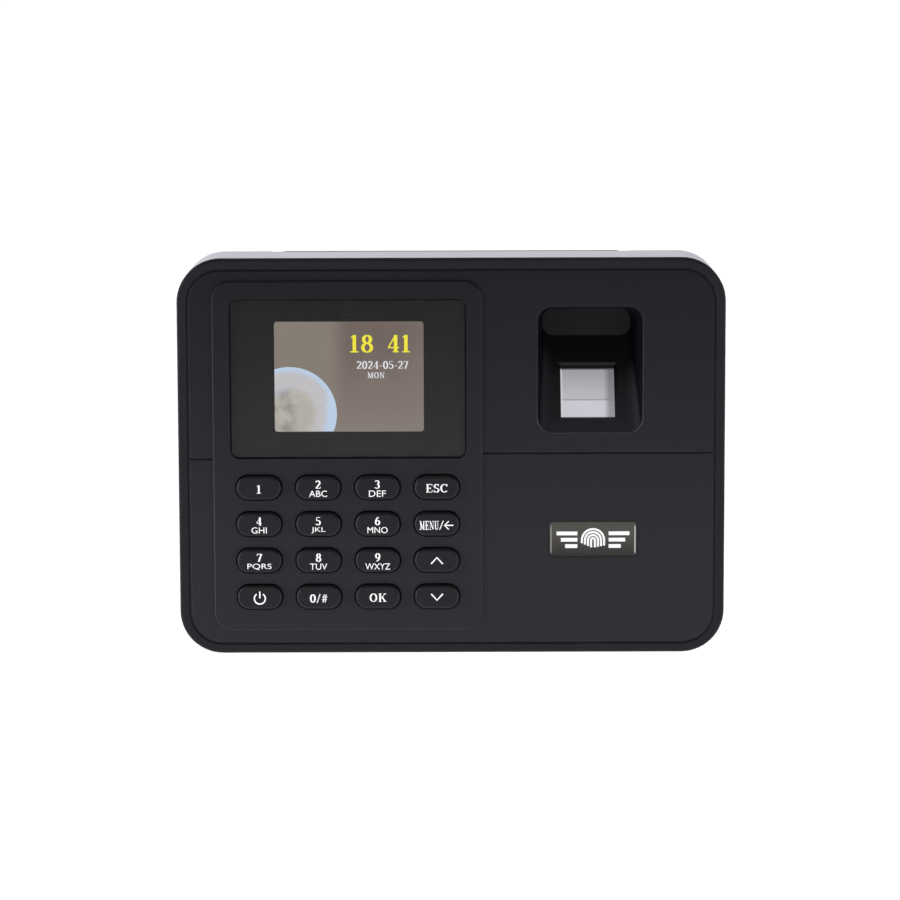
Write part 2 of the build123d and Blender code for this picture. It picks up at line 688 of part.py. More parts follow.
def sensor_screws():
    screws = []
    seat = SENSOR_EAR - 1.6
    for x in SENSOR_BOSSES:
        head = ramp_slab(Pos(x, 0) * Circle(2.0), seat - 1.3, seat)
        head -= ramp_slab(Pos(x, 0) * Rectangle(0.6, 2.6), seat - 1.3, seat - 0.8)
        screws.append(head + ramp_slab(Pos(x, 0) * Circle(0.95), seat, -2.5))
    return screws


def sensor_lens():
    barrel = ramp_slab(Pos(0, -2.0) * Circle(3.6), -9.6, -7.3)
    return fillet(barrel.edges().filter_by(GeomType.CIRCLE).sort_by(Axis.Y)[0], 1.0)


def sensor_board():
    return ramp_slab(Pos(0, -3.5) * Rectangle(24.0, 18.0), -12.2, -11.1)


def sensor_chip():
    return ramp_slab(Pos(0, -2.0) * Rectangle(7.0, 7.0), -11.1, -10.1)


def sensor_lamps():
    places = [(x, z) for x in (-8.5, 8.5) for z in (-9.0, 3.0)]
    return [ramp_slab(Pos(x, z) * Rectangle(1.8, 1.4), -11.1, -10.3) for x, z in places]


def sensor_cable():
    """Bundle from the sensor's board to the main board."""
    start = RAMP.from_local_coords((-13.6, -6.0, -11.6))
    start = (start.X, start.Y, start.Z)
    return wire([start, (25.4, -18.6, 14.0), (19.0, -(MAIN_BOARD_FACE + 1.0), 24.0)], 0.9)


# ================================================================ screws and bracket
def casing_screws():
    return [pan_screw(x, z, SCREW_SEAT, 22.0, 2.8, 2.0, 1.45) for x, z in CASING_SCREWS]


def hook(x, z):
    """Lanced hook: a neck out of the plate and a tongue that rises behind the casing wall."""
    left = x - HOOK_WIDTH / 2
    right = x + HOOK_WIDTH / 2
    neck = brick(left, right, z, z + PLATE, 0, HOOK_BACK + HOOK_THICK)
    tongue = brick(left, right, z, z + PLATE + HOOK_RISE, HOOK_BACK, HOOK_BACK + HOOK_THICK)
    return neck + tongue


def wall_bracket():
    plate = slab(span(PLATE_EDGES, 4.0), 0, PLATE)
    plate -= slab(span(grow(CABLE_WINDOW, 2.0), 3.0), 0, PLATE)
    for x in (-WALL_SCREW_X, WALL_SCREW_X):
        for z in (-WALL_SCREW_Z, WALL_SCREW_Z):
            plate -= rod(x, z, WALL_SCREW_RADIUS, 0, PLATE)
    for x, z in HOOKS:
        window = (x - HOOK_WIDTH / 2 - 0.6, x + HOOK_WIDTH / 2 + 0.6, z + PLATE, z + PLATE + 11.0)
        plate -= slab(span(window, 1.0), 0, PLATE)
        plate += hook(x, z)
    half = TAB_WIDTH / 2
    plate += brick(-half, half, LOCK_TAB_BOTTOM, PLATE_EDGES[2] + 5.0, 0, PLATE)
    plate += brick(-half, half, LOCK_TAB_BOTTOM, LOCK_TAB_TOP, 0, TAB_REACH)
    return plate - post(0, LOCK_DISTANCE, 1.6, LOCK_TAB_BOTTOM, LOCK_TAB_TOP)


def lock_screw():
    """Security screw driven up through the bracket's tab, with a hexagon socket."""
    head = post(0, LOCK_DISTANCE, 2.8, LOCK_TAB_BOTTOM - 2.2, LOCK_TAB_BOTTOM)
    head = fillet(head.edges().sort_by(Axis.Z)[0], 0.5)
    socket = Pos(0, -LOCK_DISTANCE) * RegularPolygon(1.3, 6)
    head -= extrude(Plane.XY.offset(LOCK_TAB_BOTTOM - 2.2) * socket, 1.3)
    return head + post(0, LOCK_DISTANCE, 1.45, LOCK_TAB_BOTTOM, -HEIGHT / 2 + 4.8)


# ================================================================ writing the nodes
def write(name, solids):
    if isinstance(solids, list):
        solids = Compound(children=[s.solid() for s in solids])
    export_step(solids, f"parts/{name}.step")


SINGLE_NODES = (
    front_cover, rear_cover, display_window, window_mask, window_tape, lcd_backlight, lcd_glass,
    lcd_flex, badge_label, badge_dome, keypad_mat, front_board, front_board_screws, main_board,
    main_board_screws, chips, capacitors, battery_holder, clock_battery, wiring_headers, door_relay,
    network_socket, usb_socket, power_socket, ribbon_sockets, board_ribbon, speaker_frame,
    speaker_cone, speaker_magnet, speaker_wires, sensor_prism, sensor_housing, sensor_screws,
    sensor_lens, sensor_board, sensor_chip, sensor_lamps, sensor_cable, casing_screws,
    wall_bracket, lock_screw,
)

os.makedirs("parts", exist_ok=True)
for maker in SINGLE_NODES:
    write(maker.__name__, maker())
for names, z in zip(KEY_NAMES, KEY_Z):
    for name, x in zip(names, KEY_X):
        write(name, key(x, z))
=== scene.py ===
import json
import math

import bmesh
import bpy
from mathutils import Matrix, Vector


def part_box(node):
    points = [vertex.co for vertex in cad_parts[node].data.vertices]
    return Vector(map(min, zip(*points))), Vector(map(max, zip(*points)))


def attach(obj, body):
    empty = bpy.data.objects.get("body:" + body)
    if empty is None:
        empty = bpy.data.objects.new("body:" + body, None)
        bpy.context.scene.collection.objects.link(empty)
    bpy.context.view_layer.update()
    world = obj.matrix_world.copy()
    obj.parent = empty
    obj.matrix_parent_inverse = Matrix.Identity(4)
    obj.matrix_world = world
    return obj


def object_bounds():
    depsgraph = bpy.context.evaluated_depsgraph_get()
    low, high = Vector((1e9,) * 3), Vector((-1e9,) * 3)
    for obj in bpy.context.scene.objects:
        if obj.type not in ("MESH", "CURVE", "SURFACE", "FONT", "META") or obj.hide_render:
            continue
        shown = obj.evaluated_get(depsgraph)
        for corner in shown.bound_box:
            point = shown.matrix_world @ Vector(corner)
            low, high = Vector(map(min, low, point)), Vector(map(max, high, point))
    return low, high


# Looks for the fingerprint terminal: a finish for every part, the lit display, the key legends,
# the emblem under the badge's resin, a plain pale floor, soft studio light and the camera.
#
# The CAD frame: +X right, +Z up, the front faces -Y and the wall is the plane y = 0. Flat artwork
# is drawn in millimetres as (x, z) points and placed at a distance out from the wall.

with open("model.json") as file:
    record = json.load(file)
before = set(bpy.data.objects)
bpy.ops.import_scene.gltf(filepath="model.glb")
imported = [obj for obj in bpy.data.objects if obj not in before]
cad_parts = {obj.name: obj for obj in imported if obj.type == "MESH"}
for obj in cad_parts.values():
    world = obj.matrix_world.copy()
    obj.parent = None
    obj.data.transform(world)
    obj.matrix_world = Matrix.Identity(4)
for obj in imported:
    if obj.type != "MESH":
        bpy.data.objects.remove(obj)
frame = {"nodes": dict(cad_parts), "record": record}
cad_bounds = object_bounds()

MM = 0.001
PER_METRE = 1000.0


# ================================================================ places, from the CAD
def edges_of(node):
    """A node's left, right, bottom and top edges, seen from the front, in millimetres."""
    low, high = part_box(node)
    return low.x / MM, high.x / MM, low.z / MM, high.z / MM


def front_of(node):
    """How far a node's front stands out from the wall, in millimetres."""
    return -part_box(node)[0].y / MM


def middle_of(node):
    left, right, bottom, top = edges_of(node)
    return (left + right) / 2, (bottom + top) / 2


# ================================================================ material nodes
def srgb(red, green, blue):
    """A screen colour, 0 to 255, as the linear colour that nodes use."""
    linear = []
    for level in (red, green, blue):
        share = level / 255
        linear.append(share / 12.92 if share <= 0.04045 else ((share + 0.055) / 1.055) ** 2.4)
    return (*linear, 1.0)


def grey(level):
    return (level, level, level, 1.0)


class Shader:
    """One node material. Its patterns are laid out in the part's own millimetres."""

    def __init__(self, name):
        self.material = bpy.data.materials.new(name)
        self.material.use_nodes = True
        self.tree = self.material.node_tree
        self.tree.nodes.clear()
        place = self.add("TexCoord").outputs["Object"]
        self.place = self.vector("MULTIPLY", place, (PER_METRE, PER_METRE, PER_METRE))

    def add(self, kind, inputs=None, **settings):
        """Add a node. An input is given a value, or the output that feeds it."""
        node = self.tree.nodes.new("ShaderNode" + kind)
        for name, value in settings.items():
            setattr(node, name, value)
        for name, value in (inputs or {}).items():
            if isinstance(value, bpy.types.NodeSocket):
                self.tree.links.new(value, node.inputs[name])
            else:
                node.inputs[name].default_value = value
        return node

    def vector(self, operation, first, second):
        return self.add("VectorMath", {0: first, 1: second}, operation=operation).outputs[0]

    def math(self, operation, first, second=0.0):
        return self.add("Math", {0: first, 1: second}, operation=operation).outputs[0]

    def axis(self, name):
        """One coordinate, in millimetres."""
        return self.add("SeparateXYZ", {0: self.place}).outputs[name]

    def facing(self, axis):
        """Which way the surface faces: 1 along the axis, 0 across it and -1 against it."""
        normal = self.add("NewGeometry").outputs["Normal"]
        return self.add("SeparateXYZ", {0: normal}).outputs[axis]

    def product(self, first, *others):
        for other in others:
            first = self.math("MULTIPLY", first, other)
        return first

    def distance(self, x, z):
        """The length of the offset x, z."""
        flat = self.add("CombineXYZ", {"X": x, "Z": z}).outputs[0]
        return self.add("VectorMath", {0: flat}, operation="LENGTH").outputs["Value"]

    def noise(self, waves, detail=2.0, stretch=(1, 1, 1), roughness=0.5):
        """Cloudy noise from 0 to 1, with so many waves in a millimetre."""
        place = self.vector("MULTIPLY", self.place, stretch)
        inputs = {"Vector": place, "Scale": waves, "Detail": detail, "Roughness": roughness}
        return self.add("TexNoise", inputs).outputs["Fac"]

    def between(self, value, start, end, low=0.0, high=1.0, smooth=True):
        """Low below start, high above end and an even change from one to the other."""
        kind = "SMOOTHSTEP" if smooth else "LINEAR"
        inputs = {"Value": value, "From Min": start, "From Max": end, "To Min": low, "To Max": high}
        return self.add("MapRange", inputs, interpolation_type=kind).outputs["Result"]

    def blend(self, share, first, second, mode="MIX"):
        inputs = {"Fac": share, "Color1": first, "Color2": second}
        return self.add("MixRGB", inputs, blend_type=mode).outputs["Color"]

    def bump(self, height, depth):
        """Turn a height from 0 to 1 into relief that is depth millimetres deep."""
        inputs = {"Height": height, "Distance": depth * MM, "Strength": 1.0}
        return self.add("Bump", inputs).outputs["Normal"]

    def finish(self, surface):
        output = self.add("OutputMaterial")
        self.tree.links.new(surface, output.inputs["Surface"])
        return self.material

    def lit(self, colour):
        """Finish with plain light of this colour."""
        return self.finish(self.add("Emission", {"Color": colour, "Strength": 1.0}).outputs[0])

    def principled(self, **inputs):
        """Finish with the standard surface; base_color stands for its input Base Color."""
        named = {name.replace("_", " ").title(): value for name, value in inputs.items()}
        named = {name.replace("Ior", "IOR"): value for name, value in named.items()}
        return self.finish(self.add("BsdfPrincipled", named).outputs[0])


def darker(colour, share):
    return (*(share * level for level in colour[:3]), 1.0)


# ================================================================ finishes
FRONT_FACE = front_of("front_cover")
SHEEN_HEIGHTS = (-28.0, 62.0)       # painted shade: between these heights the casing's sheen fades upwards
SHEEN_TINT = (0.93, 0.90, 1.0, 1.0)
RIM_SHEEN = 0.34                    # painted sheen: outside the groove the sheen hardly changes with height
RIM_CORE = (75.0, 50.7)             # middles of the cover's rounded corners
RIM_RADIUS = 10.7                   # from there to the groove
WALL_SHEEN = 0.12                   # painted shade: share of the sheen that the pocket's side walls keep
RAMP_SHEEN = 1.25                   # and that its ramp gains, a painted highlight
LIP = (28.1, 62.1, 7.7, 49.1)       # the finger pocket's rounded mouth
LIP_WIDTH = 1.0
# painted highlight: the pocket's lip is given this pale grey in place of its own colour
LIP_HIGHLIGHT_TONE = 0.085


def rim_share(shader):
    """Where the casing's rim is, outside the groove."""
    beyond = []
    for axis, core in zip("XZ", RIM_CORE):
        offset = shader.math("SUBTRACT", shader.math("ABSOLUTE", shader.axis(axis)), core)
        beyond.append(shader.math("MAXIMUM", offset, 0.0))
    return shader.between(shader.distance(*beyond), RIM_RADIUS - 0.3, RIM_RADIUS + 0.3)


def lip_highlight_share(shader):
    """How much of a face is the pocket's rounded lip, where a painted highlight is strongest at the
    bottom.
    """
    left, right, bottom, top = LIP
    slant = shader.math("ABSOLUTE", shader.facing("Y"))
    across = shader.math("ABSOLUTE", shader.math("SUBTRACT", shader.axis("X"), (left + right) / 2))
    reach = (right - left) / 2 + LIP_WIDTH
    height = shader.axis("Z")
    return shader.product(
        shader.between(slant, 0.1, 0.4),
        shader.between(slant, 0.99, 0.9),
        shader.between(shader.axis("Y"), 1.0 - FRONT_FACE, 0.8 - FRONT_FACE),
        shader.between(across, reach + 0.2, reach),
        shader.between(height, bottom - 1.5 * LIP_WIDTH, bottom - LIP_WIDTH),
        shader.between(height, bottom + 14.0, bottom + 1.0, 0.2, 1.0),
        shader.between(height, top, top - 6.0),
    )


def painted_cover_sheen(shader, low, high):
    """Painted sheen that fades upwards, with the rim, the pocket's walls and its ramp on their own:
    the walls get painted shade and the ramp a painted highlight.
    """
    level = shader.between(shader.axis("Z"), *SHEEN_HEIGHTS, low, high, smooth=False)
    rim = rim_share(shader)
    level = shader.math("MULTIPLY", level, shader.math("SUBTRACT", 1.0, rim))
    level = shader.math("ADD", level, shader.math("MULTIPLY", rim, RIM_SHEEN))
    behind = shader.between(shader.axis("Y"), 0.3 - FRONT_FACE, 1.5 - FRONT_FACE)
    wall = shader.between(shader.math("ABSOLUTE", shader.facing("X")), 0.2, 0.9)
    wall = shader.math("MULTIPLY", wall, behind)
    ramp = shader.math("MULTIPLY", shader.between(shader.facing("Z"), 0.3, 0.5), behind)
    return shader.product(
        level,
        shader.between(wall, 0.0, 1.0, 1.0, WALL_SHEEN, smooth=False),
        shader.between(ramp, 0.0, 1.0, 1.0, RAMP_SHEEN, smooth=False),
    )


def moulded(name, colour, roughness, sheen, grain=0.006):
    """Textured injection-moulded plastic: fine grain, a painted sheen that is fainter higher up and a
    painted highlight on the pocket's lip.
    """
    shader = Shader(name)
    level = painted_cover_sheen(shader, *sheen)
    slow = shader.noise(0.045, 3.0)
    fine = shader.noise(3.2, 3.0)
    specks = shader.between(fine, 0.55, 0.8, 0.0, 0.25)
    shade = shader.blend(slow, darker(colour, 0.86), darker(colour, 1.14))
    shade = shader.blend(specks, shade, darker(colour, 1.5))
    # painted highlight on the pocket's rounded lip
    shade = shader.blend(lip_highlight_share(shader), shade, grey(LIP_HIGHLIGHT_TONE))
    rough = shader.between(slow, 0.3, 0.7, roughness - 0.03, roughness + 0.03)
    return shader.principled(
        base_color=shade, roughness=rough, normal=shader.bump(fine, grain),
        specular_ior_level=level, specular_tint=SHEEN_TINT,
    )


SEAM_HIGHLIGHT_WIDTH = 0.7                     # width of the painted highlight, a pale line along the rear cover's seam
SILVER_DARK = (0.58, 0.585, 0.64, 1.0)
SILVER_LIGHT = (0.66, 0.665, 0.72, 1.0)
SILVER_FLAKE = (0.80, 0.81, 0.87, 1.0)
SILVER_SIDE_SHADE = (0.50, 0.505, 0.545, 1.0)


def satin_silver(name):
    """Silver lacquer with fine metal flake and a painted highlight along its seam, duller on the
    casing's left and right sides, where a darker colour is painted shade.
    """
    shader = Shader(name)
    flake = shader.noise(9.0, 1.0)
    slow = shader.noise(0.04, 2.0)
    colour = shader.blend(slow, SILVER_DARK, SILVER_LIGHT)
    colour = shader.blend(shader.between(flake, 0.62, 0.72), colour, SILVER_FLAKE)
    seam = front_of("rear_cover")
    # painted highlight: a pale line along the seam's rounded edge
    line = shader.between(shader.axis("Y"), SEAM_HIGHLIGHT_WIDTH - seam, -seam)
    colour = shader.blend(line, colour, grey(0.93))
    sideways = shader.between(shader.math("ABSOLUTE", shader.facing("X")), 0.6, 1.0)
    # painted shade: the left and right sides are given a darker colour, besides being rougher and not
    # metallic
    colour = shader.blend(sideways, colour, SILVER_SIDE_SHADE)
    rough = shader.between(flake, 0.4, 0.7, 0.42, 0.30)
    rough = shader.math("ADD", rough, shader.math("MULTIPLY", sideways, 0.25))
    metal = shader.between(sideways, 0.0, 1.0, 0.2, 0.0, smooth=False)
    relief = shader.bump(shader.noise(2.6, 3.0), 0.003)
    return shader.principled(base_color=colour, metallic=metal, roughness=rough, normal=relief)


def coated_steel(name, colour):
    """Powder coat on sheet steel: soft orange peel."""
    shader = Shader(name)
    peel = shader.noise(1.1, 2.0)
    colour = shader.blend(shader.noise(0.05, 2.0), darker(colour, 0.8), darker(colour, 1.25))
    relief = shader.bump(peel, 0.02)
    rough = shader.between(peel, 0.3, 0.7, 0.34, 0.46)
    return shader.principled(base_color=colour, roughness=rough, normal=relief)


def bare_metal(name, colour, roughness, stretch=(1, 1, 1)):
    """Plated or drawn metal with fine marks from its tool."""
    shader = Shader(name)
    marks = shader.noise(5.0, 3.0, stretch)
    tone = shader.blend(marks, darker(colour, 0.8), darker(colour, 1.1))
    rough = shader.between(marks, 0.2, 0.8, roughness - 0.06, roughness + 0.1)
    relief = shader.bump(marks, 0.004)
    return shader.principled(base_color=tone, metallic=1.0, roughness=rough, normal=relief)


def soft_plastic(name, colour, roughness):
    """Plain moulded plastic, rubber or paper with a faint mottle."""
    shader = Shader(name)
    mottle = shader.noise(0.35, 3.0)
    tone = shader.blend(mottle, darker(colour, 0.85), darker(colour, 1.12))
    relief = shader.bump(shader.noise(3.0, 2.0), 0.004)
    rough = shader.between(mottle, 0.3, 0.7, roughness - 0.05, roughness + 0.05)
    return shader.principled(base_color=tone, roughness=rough, normal=relief)


def circuit_board(name):
    """Green solder mask over raised copper tracks, with tinned joints."""
    shader = Shader(name)
    waves = []
    for axis, pitch in (("X", 2.1), ("Z", 1.7)):
        wave = shader.math("SINE", shader.math("MULTIPLY", shader.axis(axis), pitch))
        waves.append(shader.math("ABSOLUTE", wave))
    region = shader.between(shader.noise(0.09, 1.0), 0.49, 0.51)
    track = shader.blend(region, *waves)
    track = shader.between(track, 0.86, 0.90)
    cells = shader.add("TexVoronoi", {"Vector": shader.place, "Scale": 0.4}, feature="F1")
    joint = shader.between(cells.outputs["Distance"], 0.16, 0.14)
    mask = shader.blend(track, (0.010, 0.085, 0.035, 1.0), (0.030, 0.17, 0.065, 1.0))
    colour = shader.blend(joint, mask, (0.62, 0.62, 0.60, 1.0))
    relief = shader.bump(shader.math("ADD", track, joint), 0.05)
    rough = shader.between(joint, 0.0, 1.0, 0.32, 0.25)
    return shader.principled(base_color=colour, metallic=joint, roughness=rough, normal=relief)


HEAD_ON = 0.12      # what clear plastic mirrors below this share its backing's sheen shows


def clear(name, tint, roughness):
    """Clear plastic or resin: it lets the view through unbent and mirrors at a slant."""
    shader = Shader(name)
    outside = shader.math("SUBTRACT", 1.0, shader.add("NewGeometry").outputs["Backfacing"])
    slant = shader.math("SUBTRACT", shader.add("Fresnel", {"IOR": 1.5}).outputs[0], HEAD_ON)
    share = shader.math("MULTIPLY", shader.math("MAXIMUM", slant, 0.0), outside)
    smear = shader.noise(0.05, 2.0)
    rough = shader.between(smear, 0.3, 0.75, roughness, roughness * 1.3)
    through = shader.add("BsdfTransparent", {"Color": tint}).outputs[0]
    shine = shader.add("BsdfGlossy", {"Color": grey(1.0), "Roughness": rough}).outputs[0]
    return shader.finish(shader.add("MixShader", {0: share, 1: through, 2: shine}).outputs[0])


def printed(name, colour, painted_glow):
    """Bright ink: nearly even, with the slight unevenness of screen print, and a painted glow that
    makes it brighter than the lamps do.
    """
    shader = Shader(name)
    tone = shader.blend(shader.noise(0.08, 2.0), darker(colour, 0.92), colour)
    return shader.principled(
        base_color=tone, roughness=0.5, emission_color=tone, emission_strength=painted_glow,
    )


def window_print(name):
    """Dark print behind the window, with the window's sheen. Painted shade makes its colour and sheen
    darker higher up and its sheen weaker near the window's edges.
    """
    shader = Shader(name)
    # painted shade: the print's colour and sheen darken higher up
    rise = shader.between(shader.axis("Z"), 0.0, 50.0, smooth=False)
    tone = shader.blend(rise, (0.0085, 0.0078, 0.0072, 1.0), (0.0060, 0.0058, 0.0056, 1.0))
    level = shader.between(rise, 0.0, 1.0, 0.47, 0.30, smooth=False)
    left, right, bottom, top = edges_of("display_window")
    reach = []
    for axis, low, high in (("X", left, right), ("Z", bottom, top)):
        offset = shader.math("SUBTRACT", shader.axis(axis), (low + high) / 2)
        reach.append(shader.math("SUBTRACT", (high - low) / 2, shader.math("ABSOLUTE", offset)))
    # painted shade: the sheen drops near the window's edges
    inside = shader.between(shader.math("MINIMUM", *reach), 0.15, 0.45, 0.1, 1.0)
    level = shader.math("MULTIPLY", level, inside)
    return shader.principled(base_color=tone, roughness=0.3, specular_ior_level=level)


FOIL_LOW = (0.020, 0.020, 0.021, 1.0)
FOIL_HIGH = (0.084, 0.078, 0.070, 1.0)


def label_foil(name):
    """Dark brushed foil, lighter towards its top, with a painted reflection as a pale bar near each
    end and painted shade as a dark rim.
    """
    shader = Shader(name)
    left, right, bottom, top = edges_of("badge_label")
    height = shader.axis("Z")
    rise = shader.between(height, bottom, top - 4.0, smooth=False)
    brushed = shader.noise(1.6, 3.0, (0.06, 1, 6))
    colour = shader.blend(rise, FOIL_LOW, FOIL_HIGH)
    colour = shader.blend(0.12, colour, brushed, "OVERLAY")
    middle, half = (left + right) / 2, (right - left) / 2
    offset = shader.math("SUBTRACT", shader.axis("X"), middle)
    reach = shader.math("SUBTRACT", half, shader.math("ABSOLUTE", offset))
    # painted reflection: a pale bar just inside each end, paler on the right
    bar = shader.product(
        0.85,
        shader.between(reach, 0.3, 0.55),
        shader.between(reach, 1.05, 0.75),
        shader.between(height, bottom + 0.8, bottom + 1.8),
        shader.between(height, top - 0.8, top - 1.8),
    )
    pale = shader.blend(shader.between(offset, -1.0, 1.0), grey(0.34), grey(0.62))
    colour = shader.blend(bar, colour, pale)
    # painted shade: a dark rim along the foil's sides and bottom
    rim = shader.math("MINIMUM", reach, shader.math("SUBTRACT", height, bottom))
    colour = shader.blend(shader.between(rim, 0.5, 0.1, 0.0, 0.95), colour, grey(0.003))
    return shader.principled(base_color=colour, metallic=0.35, roughness=0.42)


SENSOR_VIEW = (35.95, 53.25, 12.9, 28.4)    # the glass seen in the ramp's opening
SENSOR_TILT = math.radians(33.7)            # the ramp, from upright
SENSOR_CREASE = 0.31                        # a thin line across it, this share of the way up
# painted light: the glass glows by itself at this strength
SENSOR_PAINTED_GLOW = 0.85
SENSOR_BASE = 0.12


def sensor_glass(name):
    """Optical glass painted as light: it glows in bands of pale grey, with painted shade towards its
    top and right side and on its slanting sides, and a painted highlight along its left edge.
    """
    shader = Shader(name)
    left, right, bottom, top = SENSOR_VIEW
    height = shader.axis("Z")
    across = shader.axis("X")
    crease = bottom + SENSOR_CREASE * (top - bottom)
    # painted shade: the glass darkens towards its top
    climb = shader.between(height, crease, top - 1.5)
    upper = shader.blend(climb, srgb(192, 190, 197), srgb(168, 166, 172))
    above = shader.between(height, crease - 0.1, crease + 0.1)
    colour = shader.blend(above, srgb(208, 207, 215), upper)
    line = shader.math("ABSOLUTE", shader.math("SUBTRACT", height, crease))
    colour = shader.blend(shader.between(line, 0.1, 0.35, 0.5, 0.0), colour, srgb(112, 110, 116))
    # painted shade towards the glass's right side
    shadow = shader.between(across, right - 3.8, right - 1.2)
    lean = shader.between(height, bottom, top, 0.75, 1.0)
    colour = shader.blend(shader.math("MULTIPLY", shadow, lean), colour, srgb(124, 122, 128))
    # painted highlight along the glass's left edge
    left_edge_highlight = shader.between(across, left + 0.5, left + 0.25)
    colour = shader.blend(shader.math("MULTIPLY", left_edge_highlight, 0.6), colour, srgb(232, 232, 238))
    haze = shader.between(shader.noise(0.25, 3.0), 0.3, 0.7, 0.0, 0.06)
    colour = shader.blend(haze, colour, srgb(150, 150, 158))
    outward = (0.0, -math.cos(SENSOR_TILT), math.sin(SENSOR_TILT))
    normal = shader.add("NewGeometry").outputs["Normal"]
    aligned = shader.add("VectorMath", {0: normal, 1: outward}, operation="DOT_PRODUCT")
    facing = aligned.outputs["Value"]
    # painted shade: faces that slant away from the ramp are dark
    side_shade = shader.blend(shader.between(facing, 0.3, 0.6), grey(0.0), srgb(78, 76, 80))
    colour = shader.blend(shader.between(facing, 0.8, 0.95), side_shade, colour)
    # the glow is painted light
    return shader.principled(
        base_color=shader.blend(SENSOR_BASE, grey(0.0), colour), roughness=0.22,
        emission_color=colour, emission_strength=SENSOR_PAINTED_GLOW,
    )


FINISHES = {
    "cover_black": lambda name: moulded(name, (0.0050, 0.0046, 0.0066, 1.0), 0.50, (0.47, 0.25)),
    "key_black": lambda name: moulded(
        name, (0.0048, 0.0045, 0.0057, 1.0), 0.46, (0.36, 0.25), 0.004
    ),
    "cover_silver": satin_silver,
    "window_tint": lambda name: clear(name, (0.97, 0.97, 0.97, 1.0), 0.04),
    "mask_black": window_print,
    "tape_black": lambda name: soft_plastic(name, grey(0.012), 0.7),
    "backlight_white": lambda name: soft_plastic(name, grey(0.72), 0.45),
    "lcd_glass": lambda name: soft_plastic(name, (0.016, 0.017, 0.020, 1.0), 0.2),
    "flex_amber": lambda name: soft_plastic(name, (0.36, 0.13, 0.02, 1.0), 0.35),
    "label_foil": label_foil,
    "dome_resin": lambda name: clear(name, (0.98, 0.98, 0.97, 1.0), 0.05),
    "silicone_grey": lambda name: soft_plastic(name, grey(0.20), 0.6),
    "board_green": circuit_board,
    "screw_zinc": lambda name: bare_metal(name, (0.62, 0.63, 0.66, 1.0), 0.30),
    "chip_black": lambda name: soft_plastic(name, grey(0.014), 0.55),
    "can_silver": lambda name: bare_metal(name, (0.66, 0.67, 0.70, 1.0), 0.28, (1, 6, 1)),
    "holder_black": lambda name: soft_plastic(name, grey(0.02), 0.5),
    "cell_steel": lambda name: bare_metal(name, (0.70, 0.70, 0.70, 1.0), 0.24),
    "header_white": lambda name: soft_plastic(name, (0.72, 0.71, 0.66, 1.0), 0.45),
    "relay_blue": lambda name: soft_plastic(name, (0.02, 0.09, 0.33, 1.0), 0.38),
    "socket_steel": lambda name: bare_metal(name, (0.60, 0.60, 0.61, 1.0), 0.32, (4, 1, 1)),
    "socket_black": lambda name: soft_plastic(name, grey(0.016), 0.45),
    "ribbon_white": lambda name: soft_plastic(name, (0.70, 0.70, 0.68, 1.0), 0.4),
    "speaker_black": lambda name: soft_plastic(name, grey(0.02), 0.5),
    "cone_paper": lambda name: soft_plastic(name, (0.05, 0.045, 0.04, 1.0), 0.8),
    "magnet_grey": lambda name: bare_metal(name, (0.35, 0.35, 0.36, 1.0), 0.4),
    "wire_grey": lambda name: soft_plastic(name, grey(0.16), 0.5),
    "sensor_glass": sensor_glass,
    "lens_glass": lambda name: clear(name, (0.85, 0.90, 0.95, 1.0), 0.03),
    "lamp_clear": lambda name: soft_plastic(name, (0.70, 0.74, 0.80, 1.0), 0.25),
    "bracket_black": lambda name: coated_steel(name, (0.016, 0.016, 0.017, 1.0)),
    "screw_black": lambda name: bare_metal(name, (0.05, 0.05, 0.055, 1.0), 0.34),
}


def finish_nodes():
    """Give every CAD node the finish of the material slot that the record names for it."""
    made = {slot: maker("finish_" + slot) for slot, maker in FINISHES.items()}
    for part in frame["record"]["subparts"]:
        mesh_slots = frame["nodes"][part["node"]].material_slots
        for index in range(len(mesh_slots)):
            mesh_slots[index].material = made[part["material_slot"]]
    return made


# ================================================================ flat artwork
INK = 0.02          # thickness of a printed layer, in millimetres


def arc(centre, radii, start, end, steps=None):
    """Points along part of an ellipse, from one angle to another, in degrees."""
    steps = steps or max(4, round(abs(end - start) / 12))
    points = []
    for step in range(steps + 1):
        angle = math.radians(start + (end - start) * step / steps)
        points.append((centre[0] + radii[0] * math.cos(angle), centre[1] + radii[1] * math.sin(angle)))
    return points


def add_prism(mesh, outline, near, far):
    """Add a closed flat solid with this outline, between two distances from the wall."""
    rings = []
    for distance in (near, far):
        rings.append([mesh.verts.new((x * MM, -distance * MM, z * MM)) for x, z in outline])
    back, front = rings
    mesh.faces.new(back)
    mesh.faces.new(front)
    for index in range(len(outline)):
        following = (index + 1) % len(outline)
        mesh.faces.new((back[index], back[following], front[following], front[index]))


def add_stroke(mesh, points, nib, near, far):
    """Add the solid that an upright oval nib leaves along a line of points."""
    wide, high = nib
    left, right = [], []
    for index, (x, z) in enumerate(points):
        before = points[max(index - 1, 0)]
        after = points[min(index + 1, len(points) - 1)]
        along = Vector((after[0] - before[0], after[1] - before[1])).normalized()
        across = Vector((-along.y, along.x))
        reach = math.hypot(wide * across.x, high * across.y)
        side = Vector((wide * wide * across.x, high * high * across.y)) / reach
        left.append((x + side.x, z + side.y))
        right.append((x - side.x, z - side.y))
    add_prism(mesh, left + right[::-1], near, far)


def make_piece(name, mesh, material, body):
    """Turn built geometry into a piece that rides on a body."""
    bmesh.ops.recalc_face_normals(mesh, faces=mesh.faces)
    data = bpy.data.meshes.new(name)
    mesh.to_mesh(data)
    mesh.free()
    data.materials.append(material)
    piece = bpy.data.objects.new(name, data)
    bpy.context.scene.collection.objects.link(piece)
    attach(piece, body)
    return piece


# ================================================================ lettering
THICK = (0.085, 0.034)      # half width and half height of the nib, for a character one unit high
THIN = (0.034, 0.034)

